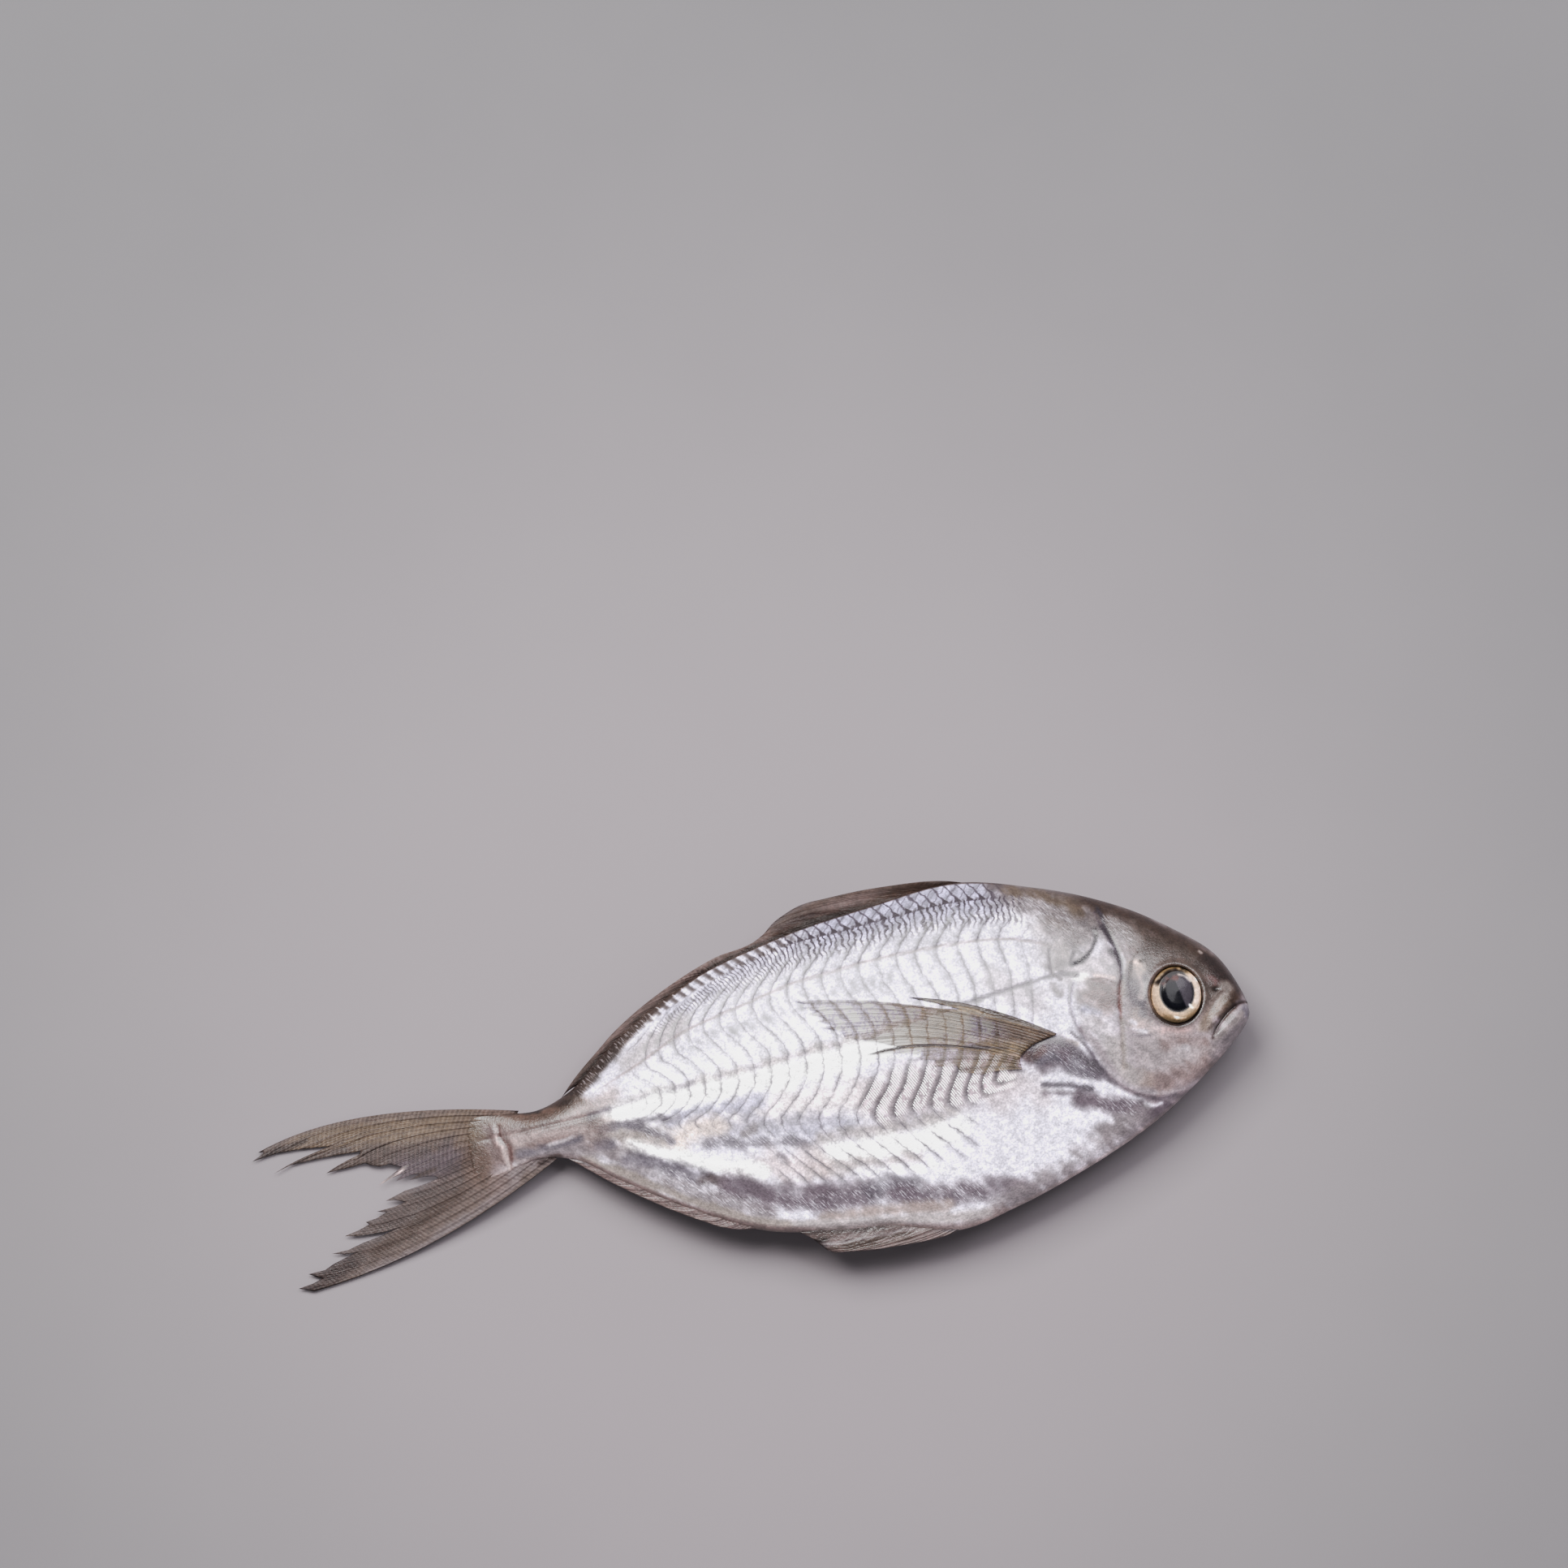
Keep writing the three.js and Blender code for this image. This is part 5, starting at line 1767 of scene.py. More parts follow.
    def build(self) -> bpy.types.Object:
        """The skin as a finished piece.

        Returns:
            The object, which rides on the fish and stands for its solid.
        """
        back, turn = np.meshgrid(self.stations(), self.turns(), indexing="ij")
        top, bottom = FORM.back_edge.at(back), FORM.belly_edge.at(back)
        up = (top + bottom) / 2 + (top - bottom) / 2 * np.cos(turn)
        side = np.where(np.abs(np.sin(turn)) < 1e-9, 0.0, np.sign(np.sin(turn)))
        edge_fade = np.clip(np.abs(np.sin(turn)) * 5.0, 0.0, 1.0) * (1 - smoothstep(back, 153.5, 157.0))
        out = side * (FORM.half(back, up) + self.relief(back, up) * edge_fade)
        spots = FORM.place(back, up, out)
        spots[..., 2] = np.maximum(spots[..., 2], 0.0)
        wrapped = WrappedMesh(
            self.name,
            spots,
            np.stack([back / 200.0, (up + 40.0) / 80.0], axis=-1),
            {
                "bands": BANDS.phase(back, up),
                "rows": self.rows(back, up),
                "pores": up - PORE_ROW.at(back),
                "pored": between_levels(back, 46.0, 90.0, 2.0),
                "lift": FORM.lift(back, up),
            },
            {"tone": self.tone(back, up), "marks": self.marks(back, up), "zones": self.zones(back, up)},
        )
        return hand_over(wrapped.build(), WetSkin().material(), "skin", "fish")


# Fins

# A fin's two faces each hide their share, and even a thick fin lets a little light through
MOST_HIDDEN = 0.995


def curve(root: Array, bend: Array, tip: Array, t: Array) -> Array:
    """Places on a line that bends once, at shares t of its length."""
    return (1 - t) ** 2 * root + 2 * t * (1 - t) * bend + t * t * tip


def between(a: Array, b: Array, share: Array) -> Array:
    """Places between two (back, up) places."""
    a, b = np.asarray(a, float), np.asarray(b, float)
    return a + (b - a) * np.asarray(share)[..., None]


def read_row(row: Triples, share: Array) -> Array:
    """Reads a row of places.

    Args:
        row: a share of the way, back and up for each of them.
        share: where to read it.

    Returns:
        The (back, up) place at each share.
    """
    knots, backs, ups = np.asarray(row, float).T
    return np.stack([np.interp(share, knots, backs), np.interp(share, knots, ups)], axis=-1)


@dataclass
class Fin:
    """A thin fin: a closed sheet over a fan of rays."""

    name: str
    finish: FinFinish
    base: Paint = Paint.TAN
    strokes: tuple[Stroke, ...] = ()
    rays: int = 34
    fine_rays: int = 60
    columns: int = 240
    rows: int = 40
    thick: float = 0.42
    thin: float = 0.2
    ends: Triples = ()

    def fan(self, across: Array) -> tuple[Array, Array, Array]:
        """Where each line of the fan starts, bends and ends, as (back, up) along the last axis."""
        raise NotImplementedError

    def rise(self, back: Array, up: Array, along: Array) -> Array:
        """How far the fin's middle surface stands out from the fish's middle plane."""
        return 0.0 * back

    def lift(self, back: Array, up: Array) -> Array:
        """How much paler the paint must be than on a level surface."""
        return 1.0 + 0.0 * back

    def body(self, along: Array) -> Array:
        """How the fin thins from root to tip, as a share."""
        return 1 - 0.55 * along**1.5

    def veil(self, back: Array, up: Array, across: Array, along: Array) -> Array:
        """How much the fin hides what is behind it, from 0 to 1."""
        return 1.0 - 0.25 * smoothstep(along, 0.7, 1.0)

    def paint_over(self, canvas: Array, back: Array, up: Array, along: Array) -> None:
        """Paints what the strokes don't."""

    def held(self, spot: Array) -> Array:
        """The places of the fin, kept inside an outline where it has one."""
        return spot

    def _trimmed(self, across: Array, root: Array, bend: Array, tip: Array) -> tuple[Array, Array]:
        """How far along each line the fin's torn edge lies, and how far off the line it is there.

        Args:
            across: each line's place in the fan.
            root, bend, tip: the points that it runs by.

        Returns:
            The share of each line's length, and the (back, up) step from the line.
        """
        if not self.ends:
            return 1.0 + 0.0 * across, np.zeros((len(across), 2))
        goal = read_row(self.ends, across)
        shares = np.linspace(0.02, 1.0, 300)
        line = curve(root[:, None], bend[:, None], tip[:, None], shares[None, :, None])
        pick = np.argmin(np.hypot(*np.moveaxis(line - goal[:, None], -1, 0)), axis=1)
        return shares[pick], goal - line[np.arange(len(across)), pick]

    def build(self) -> bpy.types.Object:
        """The fin as a finished piece.

        Returns:
            The object, which rides on the fish.
        """
        knots = [point[0] for point in self.ends]
        across = np.unique(np.round(np.concatenate([np.linspace(0.0, 1.0, self.columns + 1), knots]), 5))
        turn = np.linspace(0.0, 2.0, 2 * self.rows + 1)
        along = 1 - np.abs(1 - turn)
        root, bend, tip = self.fan(across)
        share, pull = self._trimmed(across, root, bend, tip)
        reach = along[None, :] * share[:, None]
        spot = curve(root[:, None], bend[:, None], tip[:, None], reach[..., None])
        spot = self.held(spot + pull[:, None] * along[None, :, None] ** 4)
        back, up = spot[..., 0], spot[..., 1]
        wide = np.broadcast_to(across[:, None], back.shape)
        long = np.broadcast_to(along[None, :], back.shape)
        phase = wide * self.rays
        near = np.abs(phase - np.rint(phase)) * 2
        half = self.thin + (self.thick - self.thin) * bell(near, 0.35)
        rim = np.clip(np.minimum(across, 1 - across) * self.rays * 3.0, 0.0, 1.0)[:, None] ** 0.5
        close = np.clip((1 - along) * self.rows / 2.0, 0.0, 1.0)[None, :] ** 0.5
        half = half * self.body(reach) * rim * close
        middle = np.maximum(FORM.place(back, up, self.rise(back, up, reach))[..., 2], (half + 0.02) * MM)
        spots = FORM.place(back, up)
        spots[..., 2] = middle + np.where(turn <= 1.0, 1.0, -1.0)[None, :] * half * MM
        canvas = np.ones((*back.shape, 3)) * self.base.share
        grain = Grain(6).rough(back / 2.2 + 30.0, up / 2.2 + 50.0, 3)
        self.paint_over(canvas, back, up, long)
        for stroke in self.strokes:
            stroke.lay(canvas, back, up, grain)
        canvas *= (1 + 0.05 * grain)[..., None]
        joints = np.hypot(*np.moveaxis(spot - root[:, None], -1, 0)) / 0.9
        hidden = np.clip(self.veil(back, up, wide, long), 0.0, MOST_HIDDEN)
        wrapped = WrappedMesh(
            self.name,
            spots,
            np.stack([wide, reach], axis=-1),
            {
                "rays": wide * self.fine_rays,
                "joints": joints,
                "veil": 1 - np.sqrt(1 - hidden),
                "lift": self.lift(back, up),
            },
            {"tone": np.clip(canvas, 0.0, 1.0)},
        )
        return hand_over(wrapped.build(), self.finish.material(), "skin")


TAIL_ENDS = (
    (0, 199.8, 5), (0.006, 198.6, 4.8), (0.012, 201.2, 3.4), (0.03, 196, 4.25), (0.06, 191, 4.25),
    (0.088, 186, 3.9), (0.108, 182.5, 3.4), (0.112, 185, 3.25), (0.115, 190, 2.5), (0.118, 194.5, 1.5),
    (0.121, 197.4, 0.3), (0.13, 194, 1.4), (0.14, 190, 1.7), (0.155, 185, 1.9), (0.178, 179.5, 1.9),
    (0.186, 180.5, 0.4), (0.19, 184, -0.3), (0.194, 187, -1.3), (0.215, 183, -1), (0.235, 179, -0.6),
    (0.262, 178, -1.2), (0.278, 176.3, -1.75), (0.292, 174.3, -1.6), (0.33, 172, -2.6),
    (0.34, 174.8, -4.1), (0.346, 177.1, -5.4), (0.356, 174.2, -4.4), (0.372, 171.6, -3.9),
    (0.386, 173.6, -5.2), (0.402, 170.3, -4.4), (0.42, 168.8, -4.6), (0.434, 170.8, -5.4),
    (0.455, 167.6, -5.2), (0.5, 165.6, -5.5), (0.57, 165, -6.2), (0.592, 168, -6.7), (0.61, 172, -7.3),
    (0.64, 175, -8.3), (0.652, 176.2, -8.7), (0.664, 174, -8.95), (0.684, 172.3, -9.6),
    (0.698, 174.5, -10.1), (0.708, 178.3, -10.5), (0.722, 176.5, -11), (0.74, 178.5, -11.8),
    (0.752, 180.8, -12.2), (0.764, 180.2, -12.8), (0.786, 182.5, -13.6), (0.8, 185.4, -14.3),
    (0.808, 183, -14.75), (0.814, 178, -14.8), (0.82, 174.2, -14.3), (0.83, 178, -15.4),
    (0.845, 182, -16.2), (0.862, 185, -17.1), (0.872, 188.5, -17.35), (0.882, 186, -17.9),
    (0.89, 183.6, -17.9), (0.902, 186, -18.6), (0.918, 188.5, -19.4), (0.935, 190.3, -20.3),
    (0.945, 193.8, -20.6), (0.957, 192.3, -21.4), (0.967, 191.2, -21.9), (0.978, 193.2, -22.6),
    (0.988, 196.2, -23.15), (0.994, 194.5, -23.75), (1, 193.2, -24.2),
)
TAIL_STROKES = strokes(
    (Paint.TAN, 2.4, 3, 0.9, ((156, 4.6), (168, 4.6), (180, 5.4), (190, 5.2))),
    (Paint.OLIVE, 1.2, 2, 0.5, ((158, 5), (168, 6.2), (181, 7))),
    (Paint.COCOA, 0.8, 1.6, 0.7, ((160, 0.6), (168, 0.4), (178, 0.8)), 0.4),
    (Paint.BRONZE, 1, 2.4, 0.5, ((155, 3.4), (156.4, 0.4), (156.4, -5))),
    (Paint.BLUSH, 0.5, 1.4, 0.6, ((153.4, -1), (153, -6)), 0.5),
    # Painted glints near the tail's root
    (Paint.SHELL, 0.12, 0.4, 0.8, ((155.4, -4.4), (155, -4.8))),
    (Paint.SHELL, 0.12, 0.4, 0.8, ((158.2, -3.8), (157.8, -4.2))),
    (Paint.HIDE, 0.5, 0.8, 0.85, ((149, 4.9), (157, 6.5), (170.7, 7.7), (180, 8.6), (188, 8.4),
     (194, 7.4))),
    (Paint.SOOT, 0.2, 0.6, 0.6, ((201, 3.6), (196, 4.7), (190, 5.8))),
    (Paint.COCOA, 0.2, 0.7, 0.7, ((197, 0.6), (190, 2.1), (182, 2.8))),
    (Paint.PLUM, 2, 2.4, 0.9, ((158, -2.6), (165, -3.8), (171, -4))),
    (Paint.SHELL, 0.08, 0.3, 0.9, ((177.1, -5.4), (174, -4.3), (171.5, -2.9))),
    (Paint.SHELL, 0.08, 0.3, 0.8, ((171, -5.6), (168.4, -6.2), (165.5, -6.3))),
    (Paint.UMBER, 0.2, 0.5, 0.8, ((170.5, -5.1), (165.5, -4.2))),
    (Paint.COCOA, 1.8, 2.2, 0.8, ((160, -7.4), (170, -10.8), (180, -15), (186, -18.6))),
    (Paint.UMBER, 0.5, 1, 0.8, ((157, -7.6), (164, -11.2), (172, -15), (180, -18.4))),
    (Paint.DOVE, 0.6, 1, 0.8, ((150, -9.6), (156, -12.8), (163, -16), (172, -19.8), (182, -22.4)), 0.3),
    (Paint.HIDE, 0.3, 0.7, 0.8, ((146, -9), (156, -14), (168, -19.2), (180, -22.8), (188, -24))),
    (Paint.EMBER, 1.4, 1.4, 0.95, ((195, -23.2), (190, -21.2), (186, -19.6))),
)
BREAST_ENDS = (
    (0, 67, 13.65), (0.03, 62, 11.7), (0.04, 57, 9.5), (0.045, 62, 10.4), (0.05, 68, 12.4),
    (0.055, 76, 14.6), (0.06, 84, 16), (0.065, 89.5, 16.6), (0.09, 86.5, 15.3), (0.12, 88, 15),
    (0.16, 85.5, 13.9), (0.2, 87, 13.6), (0.26, 84, 12.2), (0.33, 85.5, 11.8), (0.4, 82.5, 10.6),
    (0.46, 84.9, 10.4), (0.52, 81, 9), (0.58, 80.5, 7.4), (0.64, 77.5, 6.8), (0.68, 73.5, 5.4),
    (0.72, 70.5, 4.1), (0.735, 73, 4.2), (0.745, 76.8, 3.6), (0.755, 72, 3.1), (0.79, 66, 1.9),
    (0.83, 68, 1), (0.87, 63.5, 0.3), (0.9, 64.5, -0.9), (0.94, 59.5, -1.6), (0.97, 59, -3),
    (1, 54.5, -4.2),
)
LEADING_EDGE = Trail(((38.5, 1.5), (44, 4.5), (50, 7.5), (55, 10.2), (60, 12.0), (67, 13.65)))
LOWER_RAY = Trail(((77, 3.6), (70.6, 3.9), (64.7, 3.5), (60, 2.5), (48, 0)))
BREAST_STROKES = strokes(
    (Paint.UMBER, 0.3, 0.7, 0.95, LEADING_EDGE.points),
    (Paint.BRONZE, 1, 2, 0.8, ((40, 0.6), (46, 2.4), (54, 5.4))),
    (Paint.TAN, 1, 1.6, 0.4, ((43, 0), (46.6, -1.4), (49, -3))),
    (Paint.GRAPE, 0.12, 0.3, 0.9, LOWER_RAY.points),
    (Paint.SAND, 0.2, 0.5, 0.5, ((46, 0.8), (52, 2.6), (56, 3.4))),
    (Paint.SAND, 0.2, 0.5, 0.5, ((47, -1.4), (53, -0.6))),
)


@dataclass
class TailFin(Fin):
    """The forked tail fin, torn between its rays.

    Roots and tips are given in the middle of the fan and at its upper and lower edge, bends and bulges
    at the two edges.
    """

    fork_share: float = 0.47
    roots: Pairs = ((151, -1), (147, 4.6), (141, -6.2))
    tips: Pairs = ((165.5, -4.6), (201, 3.4), (196.3, -23.2))
    bends: Pairs = ((184, 13), (172, -23.5))
    bulges: Pairs = ((3, -1.8), (2.8, 1.6))

    def fan(self, across: Array) -> tuple[Array, Array, Array]:
        """Where each line of the fan starts, bends and ends.

        Args:
            across: each line's place in the fan, from 0 to 1.

        Returns:
            Their (back, up) points.
        """
        upper = across < self.fork_share
        below = (across - self.fork_share) / (1 - self.fork_share)
        to_edge = np.where(upper, 1 - across / self.fork_share, below)

        def pick(high: tuple[float, float], low: tuple[float, float]) -> Array:
            """The upper lobe's value or the lower one's."""
            return np.where(upper[:, None], np.asarray(high, float), np.asarray(low, float))

        root = between(self.roots[0], pick(*self.roots[1:]), to_edge**1.3)
        tip = between(self.tips[0], pick(*self.tips[1:]), to_edge**1.15)
        tip = tip + pick(*self.bulges) * np.sin(math.pi * to_edge)[:, None]
        middle = (root + tip) / 2
        bend = between(middle, pick(*self.bends), to_edge**1.6)
        return root, bend, tip

    def veil(self, back: Array, up: Array, across: Array, along: Array) -> Array:
        """Thinner in the middle of the fan and towards the torn ends."""
        middle = bell(across - 0.46, 0.14) * smoothstep(along, 0.2, 0.7)
        return 0.99 - 0.3 * middle - 0.15 * smoothstep(along, 0.5, 0.9)

    def lift(self, back: Array, up: Array) -> Array:
        """The sheet lies in the fish's own shade."""
        return 1.35 + 0.0 * back

    def paint_over(self, canvas: Array, back: Array, up: Array, along: Array) -> None:
        """Darkens the torn ends."""
        lay(canvas, Paint.UMBER, 0.7 * smoothstep(along, 0.8, 1.0) * smoothstep(back, 172.0, 180.0))


@dataclass
class FoldedFin(Fin):
    """A fin folded down on the back's or the belly's edge, its rays lying back along the body."""

    edge: Profile = FORM.back_edge
    reach: Profile = Profile(((0, 0), (1, 1)))
    side: float = 1.0
    start: float = 46.0
    end: float = 139.0
    ray_length: Profile = Profile(((46, 4), (60, 14), (76, 28), (90, 34), (94, 16), (120, 13), (139, 6)))
    root_depth: float = 1.3
    width: float = 1.1
    dimmed: float = 1.3
    inner: Paint = Paint.UMBER
    outer: Paint = Paint.HIDE
    pale: Paint = Paint.DOVE

    def fan(self, across: Array) -> tuple[Array, Array, Array]:
        """Where each line of the fan starts, bends and ends.

        Args:
            across: each line's place in the fan, from 0 to 1.

        Returns:
            Their (back, up) points.
        """
        tip_back = self.start + (self.end - self.start) * across
        root_back = tip_back - self.ray_length.at(tip_back)
        root = np.stack([root_back, self.edge.at(root_back) - self.side * self.root_depth], axis=-1)
        tip = np.stack([tip_back, self.edge.at(tip_back) + self.side * self.reach.at(tip_back)], axis=-1)
        middle_back = root_back * 0.45 + tip_back * 0.55
        bend_up = self.edge.at(middle_back) + self.side * self.reach.at(middle_back)
        bend = np.stack([middle_back, bend_up], axis=-1)
        return root, bend, tip

    def held(self, spot: Array) -> Array:
        """The places of the fin, kept inside the strip's outer edge.

        Args:
            spot: (back, up) places.

        Returns:
            The places to use instead.
        """
        back, up = spot[..., 0], spot[..., 1]
        edge = self.edge.at(back)
        off = np.minimum(self.side * (up - edge), self.reach.at(back))
        return np.stack([back, edge + self.side * off], axis=-1)

    def lift(self, back: Array, up: Array) -> Array:
        """The strip leans towards the lamps."""
        return self.dimmed + 0.0 * back

    def body(self, along: Array) -> Array:
        """Folded skin is thick at the root."""
        return self.width * (1 - 0.7 * along) / self.thick + 0.2

    def veil(self, back: Array, up: Array, across: Array, along: Array) -> Array:
        """Nearly hides the body; the free ends are thinner."""
        return 1.0 - 0.3 * smoothstep(along, 0.85, 1.0)

    def paint_over(self, canvas: Array, back: Array, up: Array, along: Array) -> None:
        """Paints the strip from its dark root to its lighter outer edge, with long low streaks.

        Args:
            canvas: the colours so far, changed in place.
            back, up: where each of them lies.
            along: how far along the rays, from 0 to 1.
        """
        off = self.side * (up - self.edge.at(back))
        far = np.maximum(self.reach.at(back), 0.6)
        streak = Grain(31).rough(back / 11.0 + 5.0, off * 1.9 + 0.05 * back + 30.0, 3)
        lay(canvas, self.outer, smoothstep(off / far, 0.55, 1.0))
        lay(canvas, self.inner, 1 - smoothstep(off / far, 0.15, 0.5))
        lay(canvas, self.pale, 0.4 * smoothstep(streak, 0.05, 0.45))
        lay(canvas, self.inner, 0.5 * smoothstep(-streak, 0.05, 0.4))
        lay(canvas, Paint.SOOT, 0.85 * bell(off - 0.3, 0.5) * self.dark_root(back))

    def dark_root(self, back: Array) -> Array:
        """How dark the line beside the scales is, from 0 to 1.

        Args:
            back: the places.

        Returns:
            A share for each place.
        """
        if self.side > 0:
            return 0.3 + 0.7 * smoothstep(back, 62.0, 76.0)
        return between_levels(back, 76.0, 102.0, 4.0)


@dataclass
class BreastFin(Fin):
    """A breast fin laid back along a flank."""

    flank: Flank = Flank.RIGHT
    root_line: Pairs = ((38.6, 1.4), (43.5, 0.2), (46.6, -1.8), (46.8, -4.4))
    tips: Triples = (
        (0, 67, 13.65), (0.06, 89.5, 16.5), (0.2, 88, 14.5), (0.35, 86, 12.2), (0.5, 84.7, 10.4),
        (0.62, 80.5, 7.6), (0.74, 76.8, 3.7), (0.85, 68, 1.2), (0.93, 62, -1.5), (1, 56, -4),
    )
    sag: Pairs = ((0, 3.4), (0.06, 4.6), (0.5, 4.3), (0.74, 4.0), (1, 0.5))

    def fan(self, across: Array) -> tuple[Array, Array, Array]:
        """Where each line of the fan starts, bends and ends.

        Args:
            across: each line's place in the fan, from 0 to 1.

        Returns:
            Their (back, up) points.
        """
        tip = read_row(self.tips, across)
        line = Trail(self.root_line).drawn()
        spread = np.linspace(0.0, 1.0, len(line))
        root = np.stack([np.interp(across, spread, line[:, k]) for k in (0, 1)], axis=-1)
        bow = np.interp(across, *np.asarray(self.sag, float).T)
        bend = (root + tip) / 2 + np.stack([0.0 * across, bow], axis=-1)
        return root, bend, tip

    def rise(self, back: Array, up: Array, along: Array) -> Array:
        """Just clear of the flank, a little further out in the middle."""
        lift = 0.32 + 0.2 * np.sin(math.pi * np.clip(along, 0, 1))
        return self.flank.value * (FORM.half(back, up) + lift + 0.5 * (1 - smoothstep(along, 0.0, 0.2)))

    def lift(self, back: Array, up: Array) -> Array:
        """As on the flank that the fin lies on."""
        return FORM.lift(back, up)

    def veil(self, back: Array, up: Array, across: Array, along: Array) -> Array:
        """See-through but for its root, its leading edge and its strongest lower ray.

        Args:
            back, up: the places.
            across, along: where they lie in the fan, from 0 to 1.

        Returns:
            A share for each place.
        """
        thin = 0.58 - 0.24 * smoothstep(across, 0.66, 0.85) - 0.26 * smoothstep(back, 58.0, 84.0)
        leading = 0.45 * (1 - smoothstep(LEADING_EDGE.reach(back, up)[0], 0.4, 2.6))
        root = 0.4 * (1 - smoothstep(back, 44.0, 55.0))
        ray = 0.6 * bell(LOWER_RAY.reach(back, up)[0], 0.28)
        return thin + np.max([leading, root, ray], axis=0)


# Eyes


EYE_STROKES = strokes(
    (Paint.CREAM, 0.3, 0.8, 0.35, ((17.9, 8.4), (18.3, 5.4), (17.6, 2.4))),
    (Paint.HONEY, 0.3, 0.8, 0.6, ((17.2, 9.8), (14.4, 11), (11.2, 10))),
    (Paint.CREAM, 0.4, 0.7, 0.8, ((10, 8.6), (9.4, 7), (9.4, 5), (10.2, 3))),
    (Paint.WHEAT, 0.5, 0.8, 0.5, ((16.6, 0.9), (14, 0.1), (11.6, 0.9))),
    # Painted shadow at the pupil's top
    (Paint.SOOT, 0.5, 0.5, 0.95, ((16.9, 8.6), (14.8, 9.8), (12.2, 9.6))),
    (Paint.RUST, 0.25, 0.5, 0.85, ((16.2, 8), (15, 8.7), (13.5, 8.8))),
    (Paint.CREAM, 0.1, 0.3, 0.9, ((12.9, 9.3), (11.8, 8.8), (10.8, 7.7))),
    # Painted highlights on the ring
    (Paint.SNOW, 0.16, 0.24, 1, ((11.6, 2.9), (11.4, 2.6))),
    (Paint.SNOW, 0.1, 0.24, 0.9, ((15, 1.1), (14, 0.7), (13, 0.6))),
    (Paint.SNOW, 0.12, 0.24, 0.8, ((9.5, 8.2), (9.1, 7), (9, 6.2))),
)


